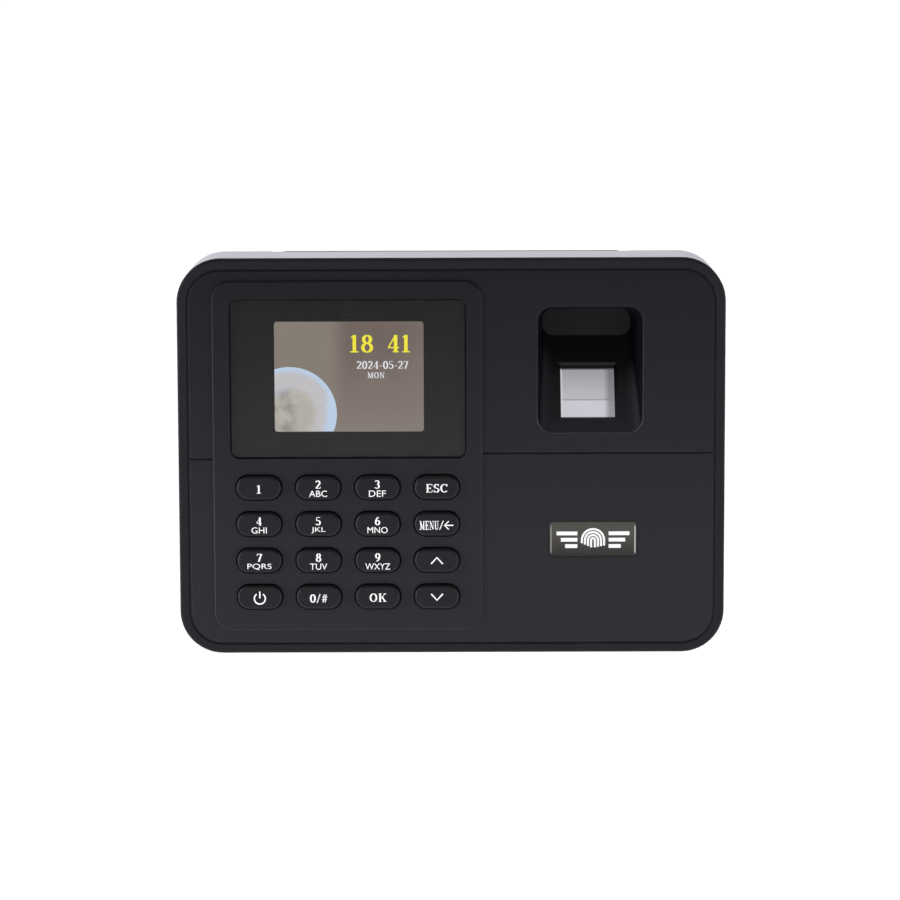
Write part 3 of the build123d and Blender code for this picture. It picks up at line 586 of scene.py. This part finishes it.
# Bold seriffed characters as (width, strokes). A stroke is a nib and points; x runs from 0 to 1
# over the character's width and z from 0 to 1 over its height.
SERIF = {
    "0": (0.56, [(THICK, arc((0.5, 0.5), (0.36, 0.47), 90, 450))]),
    "1": (0.46, [
        (THICK, [(0.52, 0.02), (0.52, 0.98)]),
        (THIN, [(0.20, 0.84), (0.52, 0.95)]),
        (THIN, [(0.12, 0.035), (0.92, 0.035)]),
    ]),
    "2": (0.54, [
        (THICK, arc((0.48, 0.71), (0.34, 0.26), 165, -35) + [(0.14, 0.06)]),
        (THICK, [(0.10, 0.06), (0.86, 0.06)]),
        (THIN, [(0.86, 0.04), (0.93, 0.24)]),
    ]),
    "3": (0.54, [
        (THICK, arc((0.44, 0.74), (0.32, 0.23), 150, -85)),
        (THICK, arc((0.44, 0.27), (0.38, 0.24), 85, -150)),
    ]),
    "4": (0.58, [
        (THICK, [(0.68, 0.02), (0.68, 0.98)]),
        (THIN, [(0.68, 0.97), (0.08, 0.28)]),
        (THICK, [(0.05, 0.27), (0.97, 0.27)]),
        (THIN, [(0.45, 0.035), (0.92, 0.035)]),
    ]),
    "5": (0.54, [
        (THICK, [(0.20, 0.94), (0.86, 0.94)]),
        (THIN, [(0.22, 0.96), (0.18, 0.56)]),
        (THICK, arc((0.44, 0.32), (0.38, 0.28), 130, -150)),
    ]),
    "6": (0.54, [
        (THICK, arc((0.50, 0.31), (0.34, 0.28), 90, 450)),
        (THICK, arc((0.82, 0.31), (0.66, 0.65), 180, 97)),
    ]),
    "7": (0.52, [
        (THICK, [(0.10, 0.93), (0.92, 0.93)]),
        (THIN, [(0.12, 0.95), (0.08, 0.74)]),
        (THICK, [(0.86, 0.92), (0.36, 0.02)]),
    ]),
    "8": (0.54, [
        (THICK, arc((0.50, 0.74), (0.28, 0.22), 90, 450)),
        (THICK, arc((0.50, 0.27), (0.35, 0.25), 90, 450)),
    ]),
    "9": (0.54, [
        (THICK, arc((0.50, 0.69), (0.34, 0.28), 90, 450)),
        (THICK, arc((0.18, 0.69), (0.66, 0.65), 0, -83)),
    ]),
    "E": (0.68, [
        (THICK, [(0.28, 0.02), (0.28, 0.98)]),
        (THIN, [(0.08, 0.965), (0.88, 0.965), (0.90, 0.76)]),
        (THIN, [(0.28, 0.51), (0.66, 0.51)]),
        (THIN, [(0.66, 0.64), (0.66, 0.38)]),
        (THIN, [(0.08, 0.035), (0.90, 0.035), (0.94, 0.26)]),
    ]),
    "S": (0.56, [
        (THICK, arc((0.48, 0.74), (0.32, 0.23), 35, 265) + arc((0.48, 0.27), (0.36, 0.24), 85, -150)),
        (THIN, [(0.82, 0.98), (0.82, 0.72)]),
        (THIN, [(0.10, 0.30), (0.10, 0.02)]),
    ]),
    "C": (0.70, [
        (THICK, arc((0.54, 0.50), (0.42, 0.47), 42, 318)),
        (THIN, [(0.90, 0.98), (0.90, 0.68)]),
    ]),
    "M": (0.90, [
        (THIN, [(0.16, 0.02), (0.16, 0.98)]),
        (THICK, [(0.20, 0.96), (0.50, 0.08)]),
        (THIN, [(0.50, 0.06), (0.80, 0.96)]),
        (THICK, [(0.80, 0.02), (0.80, 0.98)]),
        (THIN, [(0.02, 0.035), (0.32, 0.035)]),
        (THIN, [(0.64, 0.035), (0.98, 0.035)]),
        (THIN, [(0.02, 0.965), (0.28, 0.965)]),
        (THIN, [(0.76, 0.965), (0.98, 0.965)]),
    ]),
    "N": (0.78, [
        (THIN, [(0.20, 0.02), (0.20, 0.98)]),
        (THICK, [(0.22, 0.95), (0.78, 0.06)]),
        (THIN, [(0.82, 0.02), (0.82, 0.98)]),
        (THIN, [(0.04, 0.035), (0.38, 0.035)]),
        (THIN, [(0.62, 0.965), (0.98, 0.965)]),
        (THIN, [(0.04, 0.965), (0.30, 0.965)]),
    ]),
    "U": (0.74, [
        (THICK, [(0.26, 0.98)] + arc((0.52, 0.32), (0.26, 0.28), 180, 300)),
        (THIN, arc((0.54, 0.32), (0.28, 0.28), -60, 0) + [(0.82, 0.98)]),
        (THIN, [(0.06, 0.965), (0.46, 0.965)]),
        (THIN, [(0.66, 0.965), (0.98, 0.965)]),
    ]),
    "O": (0.74, [(THICK, arc((0.5, 0.5), (0.38, 0.47), 90, 450))]),
    "K": (0.78, [
        (THICK, [(0.24, 0.02), (0.24, 0.98)]),
        (THIN, [(0.84, 0.96), (0.30, 0.40)]),
        (THICK, [(0.46, 0.60), (0.84, 0.04)]),
        (THIN, [(0.06, 0.035), (0.42, 0.035)]),
        (THIN, [(0.06, 0.965), (0.42, 0.965)]),
        (THIN, [(0.66, 0.965), (0.98, 0.965)]),
        (THIN, [(0.64, 0.035), (0.99, 0.035)]),
    ]),
    "-": (0.34, [((0.05, 0.045), [(0.10, 0.38), (0.90, 0.38)])]),
    "/": (0.42, [((0.045, 0.04), [(0.14, -0.04), (0.86, 1.04)])]),
    "#": (0.62, [
        ((0.045, 0.04), [(0.24, 0.02), (0.44, 0.98)]),
        ((0.045, 0.04), [(0.56, 0.02), (0.76, 0.98)]),
        ((0.045, 0.04), [(0.06, 0.34), (0.86, 0.34)]),
        ((0.045, 0.04), [(0.14, 0.66), (0.94, 0.66)]),
    ]),
}
GAP = 0.07          # between characters, for a height of one
NIB_STRETCH = 1.15  # a nib widens no more than this with its text
STROKE_RISE = INK / 50  # each stroke stands out a little more than the one before it crosses


def add_serif(mesh, text, centre, width, height, near):
    """Add bold seriffed text, squeezed or stretched to the given width around its centre."""
    natural = sum(SERIF[letter][0] for letter in text) + GAP * (len(text) - 1)
    squeeze = width / (natural * height)
    x = centre[0] - width / 2
    z = centre[1] - height / 2
    far = near + INK
    for letter in text:
        wide, strokes = SERIF[letter]
        for (nib_wide, nib_high), points in strokes:
            placed = [(x + px * wide * height * squeeze, z + pz * height) for px, pz in points]
            nib = (nib_wide * height * min(squeeze, NIB_STRETCH), nib_high * height)
            add_stroke(mesh, placed, nib, near, far)
            far += STROKE_RISE
        x += (wide + GAP) * height * squeeze


def add_sans(mesh, text, centre, width, height, near):
    """Add text in the plain built-in face, stretched to an exact size around its centre."""
    curve = bpy.data.curves.new("lettering", "FONT")
    curve.body = text
    curve.extrude = 0.5
    curve.resolution_u = 4
    holder = bpy.data.objects.new("lettering", curve)
    bpy.context.scene.collection.objects.link(holder)
    bpy.context.view_layer.update()
    evaluated = holder.evaluated_get(bpy.context.evaluated_depsgraph_get())
    data = bpy.data.meshes.new_from_object(evaluated)
    points = [vertex.co for vertex in data.vertices]
    low = Vector(map(min, zip(*points)))
    high = Vector(map(max, zip(*points)))
    size = Vector((width / (high.x - low.x), height / (high.y - low.y), INK))
    turn = Matrix(((MM, 0, 0, 0), (0, 0, -MM, 0), (0, MM, 0, 0), (0, 0, 0, 1)))
    shift = Matrix.Translation((centre[0], centre[1], near + INK / 2))
    middle = Matrix.Translation(((low.x + high.x) / -2, (low.y + high.y) / -2, 0))
    data.transform(turn @ shift @ Matrix.Diagonal((*size, 1)) @ middle)
    mesh.from_mesh(data)
    bpy.data.meshes.remove(data)
    bpy.data.objects.remove(holder)
    bpy.data.curves.remove(curve)


# ================================================================ key legends
DIGIT_HEIGHT = 2.75
DIGIT_WIDTH = 1.75
LETTER_HEIGHT = 2.05
ARROW_NIB = (0.19, 0.19)        # round nibs for the symbols, in millimetres
SLASH_NIB = (0.14, 0.14)
POWER_NIB = (0.22, 0.22)
CHEVRON_NIB = (0.24, 0.24)
CHEVRON_HALF = (1.9, 1.05)      # half its width and half its height
POWER_RADIUS = 1.8
CROSSING = 1.1                  # extra thickness where one stroke of a symbol crosses another
DIGIT_RISE = 1.15               # the digit above the key's middle, where letters stand below it
LETTER_DROP = 1.85
SINGLE_DROP = 0.35
WORD_DROP = 0.15

# The letters below each digit and their width.
LETTERS = {
    "2": ("ABC", 5.9), "3": ("DEF", 5.5), "4": ("GHI", 5.0), "5": ("JKL", 4.6),
    "6": ("MNO", 6.6), "7": ("PQRS", 7.9), "8": ("TUV", 5.6), "9": ("WXYZ", 8.1),
}
WORDS = {"key_esc": ("ESC", 7.2), "key_ok": ("OK", 5.5)}


def add_digit_key(mesh, digit, centre, near):
    x, z = centre
    rise = DIGIT_RISE if digit in LETTERS else -SINGLE_DROP
    add_serif(mesh, digit, (x, z + rise), DIGIT_WIDTH, DIGIT_HEIGHT, near)
    if digit in LETTERS:
        letters, width = LETTERS[digit]
        add_sans(mesh, letters, (x, z - LETTER_DROP), width, LETTER_HEIGHT, near)


def add_zero_key(mesh, centre, near):
    add_serif(mesh, "0/#", (centre[0], centre[1] - SINGLE_DROP), 5.8, DIGIT_HEIGHT, near)


def add_menu_key(mesh, centre, near):
    """The word, a stroke and an arrow that points left."""
    x, z = centre[0], centre[1] - SINGLE_DROP
    add_serif(mesh, "MENU", (x - 2.5, z), 6.2, 2.9, near)
    slash = [(x + 0.9, z - 1.5), (x + 2.1, z + 1.5)]
    shaft = [(x + 2.6, z), (x + 5.4, z)]
    head = [(x + 3.9, z + 1.35), (x + 2.5, z), (x + 3.9, z - 1.35)]
    add_stroke(mesh, slash, SLASH_NIB, near, near + INK)
    add_stroke(mesh, shaft, ARROW_NIB, near, near + INK)
    add_stroke(mesh, head, ARROW_NIB, near, near + CROSSING * INK)


def add_chevron(mesh, centre, near, up):
    """An arrowhead without a shaft, pointing up or down."""
    x, z = centre
    half, rise = CHEVRON_HALF
    rise = rise if up else -rise
    points = [(x - half, z - rise), (x, z + rise), (x + half, z - rise)]
    add_stroke(mesh, points, CHEVRON_NIB, near, near + INK)


def add_power_symbol(mesh, centre, near):
    """A ring that is open at the top, with a bar through the opening."""
    x, z = centre[0], centre[1] - SINGLE_DROP
    ring = arc((x, z), (POWER_RADIUS, POWER_RADIUS), 125, 415)
    bar = [(x, z + 0.1), (x, z + 2.35)]
    add_stroke(mesh, ring, POWER_NIB, near, near + INK)
    add_stroke(mesh, bar, POWER_NIB, near, near + CROSSING * INK)


def make_legends(material):
    """One printed legend for each key; it moves with its key."""
    for key in sorted(name for name in frame["nodes"] if name.startswith("key_")):
        mesh = bmesh.new()
        centre = middle_of(key)
        near = front_of(key)
        symbol = key.removeprefix("key_")
        if symbol == "0":
            add_zero_key(mesh, centre, near)
        elif symbol.isdigit():
            add_digit_key(mesh, symbol, centre, near)
        elif key in WORDS:
            word, width = WORDS[key]
            place = (centre[0], centre[1] - WORD_DROP)
            add_serif(mesh, word, place, width, DIGIT_HEIGHT, near)
        elif symbol == "menu":
            add_menu_key(mesh, centre, near)
        elif symbol == "power":
            add_power_symbol(mesh, centre, near)
        else:
            add_chevron(mesh, centre, near, symbol == "up")
        make_piece("legend_" + key, mesh, material, key)


# ================================================================ display picture
PICTURE_EDGES = (-57.5, -9.0, 8.4, 44.4)    # left, right, bottom and top
PICTURE_SPARE = 0.8                         # how far the picture runs on behind the mask
PICTURE_THICK = 0.04
PICTURE = front_of("lcd_glass") + 0.02
ARTWORK = PICTURE + 0.08


def light_picture(name):
    """The display's dim backdrop: warm grey, darker and redder in its upper right part."""
    shader = Shader(name)
    x, z = shader.axis("X"), shader.axis("Z")
    right_high = shader.blend(shader.between(z, 18, 40), srgb(130, 118, 112), srgb(116, 103, 98))
    right = shader.blend(shader.between(z, 7, 19), srgb(138, 128, 123), right_high)
    right = shader.blend(shader.between(x, -20, -8, 0.0, 0.25), right, srgb(140, 130, 122))
    colour = shader.blend(shader.between(x, -41, -33), srgb(137, 128, 119), right)
    mottle = shader.between(shader.noise(0.1, 3.0), 0.3, 0.7, 0.0, 0.05)
    return shader.lit(shader.blend(mottle, colour, srgb(160, 150, 140)))


PLANET = (-52.7, 14.1)
PLANET_RADIUS = 15.4
PLANET_STEPS = 40


def light_planet(name):
    """A pale globe: beige patches inside, blue haze towards its lit rim."""
    shader = Shader(name)
    x = shader.math("SUBTRACT", shader.axis("X"), PLANET[0])
    z = shader.math("SUBTRACT", shader.axis("Z"), PLANET[1])
    out = shader.math("DIVIDE", shader.distance(x, z), PLANET_RADIUS)
    patches = shader.between(shader.noise(0.13, 5.0, roughness=0.6), 0.40, 0.62)
    patches = shader.math("MAXIMUM", patches, shader.between(x, -1.5, 3.5, 0.0, 0.85))
    land = shader.blend(patches, srgb(152, 147, 143), srgb(188, 184, 175))
    lean = shader.math("SUBTRACT", shader.math("MULTIPLY", x, 0.5), z)
    land = shader.blend(shader.between(lean, -11.0, -6.5), srgb(170, 180, 200), land)
    mist = shader.blend(shader.noise(0.3, 4.0), srgb(190, 188, 190), srgb(204, 202, 206))
    land = shader.blend(shader.between(out, 0.42, 0.66), land, mist)
    haze = shader.math("ADD", out, shader.between(z, 1.0, 8.0, 0.10, -0.02))
    return shader.lit(shader.blend(shader.between(haze, 0.80, 0.97), land, srgb(192, 212, 236)))


def light_ink(name, colour):
    shader = Shader(name)
    return shader.lit(shader.blend(shader.noise(1.5, 2.0), darker(colour, 0.92), colour))


def corners_of(left, right, bottom, top):
    """The corners of a rectangle, anticlockwise from its lower left."""
    return [(left, bottom), (right, bottom), (right, top), (left, top)]


def make_picture():
    """The display's backdrop, which runs on a little behind the mask's edges."""
    left, right, bottom, top = PICTURE_EDGES
    outline = corners_of(
        left - PICTURE_SPARE, right + PICTURE_SPARE, bottom - PICTURE_SPARE, top + PICTURE_SPARE
    )
    mesh = bmesh.new()
    add_prism(mesh, outline, PICTURE, PICTURE + PICTURE_THICK)
    make_piece("display_picture", mesh, light_picture("lit_picture"), "terminal")


def make_planet():
    """The part of the globe that the picture's left and bottom edges leave in view."""
    left, _, bottom, _ = PICTURE_EDGES
    start = math.degrees(math.asin((bottom - PLANET[1]) / PLANET_RADIUS))
    end = math.degrees(math.acos((left - PLANET[0]) / PLANET_RADIUS))
    rim = arc(PLANET, (PLANET_RADIUS, PLANET_RADIUS), start, end, PLANET_STEPS)
    mesh = bmesh.new()
    add_prism(mesh, rim + [(left, bottom)], ARTWORK, ARTWORK + PICTURE_THICK)
    make_piece("display_planet", mesh, light_planet("lit_planet"), "terminal")


YELLOW = srgb(252, 240, 70)
PALE = srgb(232, 234, 240)
# Each text with its middle, width and height.
TIME = [("18", (-29.3, 37.1), 7.9, 5.8), ("41", (-17.0, 37.1), 7.5, 5.8)]
DATE = [("2024-05-27", (-22.4, 30.1), 16.8, 2.6), ("MON", (-24.5, 26.75), 5.6, 1.9)]


def make_lit_text(name, texts, material):
    mesh = bmesh.new()
    for text, centre, width, height in texts:
        add_serif(mesh, text, centre, width, height, ARTWORK)
    make_piece(name, mesh, material, "terminal")


def rounded(edges, radius):
    """Outline of a rounded rectangle, anticlockwise from its lower right corner."""
    left, right, bottom, top = edges
    points = []
    for x, z, start in (
        (right - radius, bottom + radius, -90),
        (right - radius, top - radius, 0),
        (left + radius, top - radius, 90),
        (left + radius, bottom + radius, 180),
    ):
        points += arc((x, z), (radius, radius), start, start + 90)
    return points


def shrunk(edges, inset):
    left, right, bottom, top = edges
    return left + inset, right - inset, bottom + inset, top - inset


WINDOW_INSET = 0.04
WINDOW_CORNER = 2.95


def make_window_print(material):
    """The window's print as four strips just inside the glass, open over the picture."""
    edges = shrunk(edges_of("display_window"), WINDOW_INSET)
    left, right, bottom, top = edges
    view_left, view_right, view_bottom, view_top = PICTURE_EDGES
    outline = rounded(edges, WINDOW_CORNER)
    count = len(outline) // 4
    strips = [
        outline[3 * count:] + outline[:count] + [(right, view_bottom), (left, view_bottom)],
        outline[count:3 * count] + [(left, view_top), (right, view_top)],
    ]
    for inner, outer in ((view_left, left), (view_right, right)):
        strips.append(corners_of(outer, inner, view_bottom, view_top))
    near = front_of("window_mask") + 0.03
    mesh = bmesh.new()
    for strip in strips:
        add_prism(mesh, strip, near, near + INK)
    make_piece("window_print", mesh, material, "terminal")


# ================================================================ badge emblem
FOIL_INSET = 0.05
FOIL_CORNER = 1.45
EMBLEM_DROP = 0.2               # below the badge's middle
ARC_NIB = (0.34, 0.34)
ARC_COUNT = 4
ARC_RADIUS = 0.62               # of the smallest arc
ARC_PITCH = 1.0
LEG = 2.4                       # the arcs' straight legs; they shorten outwards
BAR_NIB = (0.3, 0.62)
BAR_LENGTHS = (6.8, 5.4, 4.0)   # from the top
BAR_TOP = 2.2
BAR_PITCH = 2.1
BAR_START = 5.1


def make_badge_foil(material):
    near = front_of("badge_label") + 0.01
    outline = rounded(shrunk(edges_of("badge_label"), FOIL_INSET), FOIL_CORNER)
    mesh = bmesh.new()
    add_prism(mesh, outline, near, near + INK)
    make_piece("badge_foil", mesh, material, "terminal")


def make_emblem(material):
    """Generic fingerprint arcs between two stacks of bars, under the badge's resin."""
    x, z = middle_of("badge_label")
    z -= EMBLEM_DROP
    near = front_of("badge_label") + 0.05
    mesh = bmesh.new()
    for ring in range(ARC_COUNT):
        radius = ARC_RADIUS + ARC_PITCH * ring
        right_leg = [(x + radius, z - LEG + 0.2 * ring), (x + radius, z)]
        left_leg = [(x - radius, z), (x - radius, z - LEG + 0.45 * ring)]
        crown = arc((x, z), (radius, radius), 0, 180)
        add_stroke(mesh, right_leg + crown[1:-1] + left_leg, ARC_NIB, near, near + INK)
    for side in (-1, 1):
        for row, length in enumerate(BAR_LENGTHS):
            start = x + side * BAR_START
            height = z + BAR_TOP - BAR_PITCH * row
            ends = [(start, height), (start + side * length, height)]
            add_stroke(mesh, ends, BAR_NIB, near, near + INK)
    make_piece("badge_emblem", mesh, material, "terminal")


# ================================================================ studio
FLOOR_DROP = 0.38
FLOOR_REACH = 60.0
FLOOR_LIFT = 0.16       # makes the floor plain white to the camera without lighting the object
SKY_LIGHT = (0.92, 0.95, 1.0, 1.0)
SUN_ANGLE = math.radians(35)
OBJECT = (0, -0.03, 0.0)


def make_floor():
    mesh = bmesh.new()
    height = cad_bounds[0].z - FLOOR_DROP
    corners = corners_of(-FLOOR_REACH, FLOOR_REACH, -FLOOR_REACH, FLOOR_REACH)
    mesh.faces.new([mesh.verts.new((x, y, height)) for x, y in corners])
    data = bpy.data.meshes.new("floor")
    mesh.to_mesh(data)
    mesh.free()
    floor = bpy.data.objects.new("floor", data)
    bpy.context.scene.collection.objects.link(floor)
    shader = Shader("pale_floor")
    seen = shader.add("LightPath").outputs["Is Camera Ray"]
    lift = shader.math("MULTIPLY", seen, FLOOR_LIFT)
    tone = shader.blend(shader.noise(0.001, 2.0), grey(0.87), grey(0.89))
    data.materials.append(shader.principled(
        base_color=tone, roughness=0.7, emission_color=grey(1.0), emission_strength=lift,
    ))


def set_world():
    """Dim grey surroundings for light, seen by the camera as plain white."""
    world = bpy.data.worlds.new("studio")
    bpy.context.scene.world = world
    world.use_nodes = True
    tree = world.node_tree
    tree.nodes.clear()
    path = tree.nodes.new("ShaderNodeLightPath")
    mix = tree.nodes.new("ShaderNodeMixShader")
    output = tree.nodes.new("ShaderNodeOutputWorld")
    tree.links.new(path.outputs["Is Camera Ray"], mix.inputs[0])
    for socket, colour, strength in ((1, SKY_LIGHT, 0.12), (2, grey(1.0), 1.1)):
        sky = tree.nodes.new("ShaderNodeBackground")
        sky.inputs["Color"].default_value = colour
        sky.inputs["Strength"].default_value = strength
        tree.links.new(sky.outputs[0], mix.inputs[socket])
    tree.links.new(mix.outputs[0], output.inputs["Surface"])


def add_lamp(name, kind, place, target, strength, mirrored=True, **settings):
    """Add a lamp that points at a target. Its settings are the lamp's own, by name."""
    lamp = bpy.data.lights.new(name, kind)
    lamp.energy = strength
    for setting, value in settings.items():
        setattr(lamp, setting, value)
    holder = bpy.data.objects.new(name, lamp)
    bpy.context.scene.collection.objects.link(holder)
    holder.visible_glossy = mirrored
    holder.location = place
    holder.rotation_euler = (Vector(target) - Vector(place)).to_track_quat("-Z", "Y").to_euler()


def add_panel(name, place, strength, size, diffuse=1.0):
    """Add a rectangular soft light aimed at the object."""
    add_lamp(
        name, "AREA", place, OBJECT, strength,
        shape="RECTANGLE", size=size[0], size_y=size[1], diffuse_factor=diffuse,
    )


def light_studio():
    """A broad light from above, and tall strips that only draw highlights on the edges."""
    set_world()
    add_lamp("overhead", "SUN", (-0.05, 0.25, 1.0), (0, 0, 0), 3.35, False, angle=SUN_ANGLE)
    add_panel("top_softbox", (0.0, -0.35, 0.75), 0.4, (0.9, 0.3))
    add_panel("left_strip", (-0.75, -0.30, 0.12), 4.6, (0.16, 0.8), diffuse=0.0)
    add_panel("right_strip", (0.8, -0.4, 0.12), 2.6, (0.12, 0.7), diffuse=0.0)


# ================================================================ camera
CAMERA_DISTANCE = 1.2
CAMERA_AZIMUTH = 0.0            # degrees; negative is to the object's left
CAMERA_ELEVATION = 8.0
CAMERA_ROLL = 0.17
LENS = 147.4
AIM = Vector((0.0, -0.033, 0.0))
SHIFT = (0.0018, -0.0080)       # the object's middle from the picture's middle, in picture widths


def make_camera():
    data = bpy.data.cameras.new("camera")
    data.sensor_width = 36.0
    data.lens = LENS
    data.shift_x = -SHIFT[0]
    data.shift_y = -SHIFT[1]
    camera = bpy.data.objects.new("camera", data)
    bpy.context.scene.collection.objects.link(camera)
    azimuth, elevation = math.radians(CAMERA_AZIMUTH), math.radians(CAMERA_ELEVATION)
    back = Vector((
        math.sin(azimuth) * math.cos(elevation),
        -math.cos(azimuth) * math.cos(elevation),
        math.sin(elevation),
    ))
    turn = (-back).to_track_quat("-Z", "Y").to_matrix().to_4x4()
    roll = Matrix.Rotation(math.radians(-CAMERA_ROLL), 4, "Z")
    camera.matrix_world = Matrix.Translation(AIM + back * CAMERA_DISTANCE) @ turn @ roll
    bpy.context.scene.camera = camera


# ================================================================ putting it together
INK_WHITE = (0.92, 0.92, 0.94, 1.0)

bpy.context.scene.view_settings.view_transform = "Standard"
finishes = finish_nodes()
# the legend ink's 0.30 is painted glow
make_legends(printed("finish_legend_ink", INK_WHITE, 0.30))
make_window_print(finishes["mask_black"])
make_picture()
make_planet()
make_lit_text("display_time", TIME, light_ink("lit_yellow", YELLOW))
make_lit_text("display_date", DATE, light_ink("lit_white", PALE))
make_badge_foil(finishes["label_foil"])
# the emblem ink's 0.25 is painted glow
make_emblem(printed("finish_emblem_ink", INK_WHITE, 0.25))
make_floor()
light_studio()
make_camera()
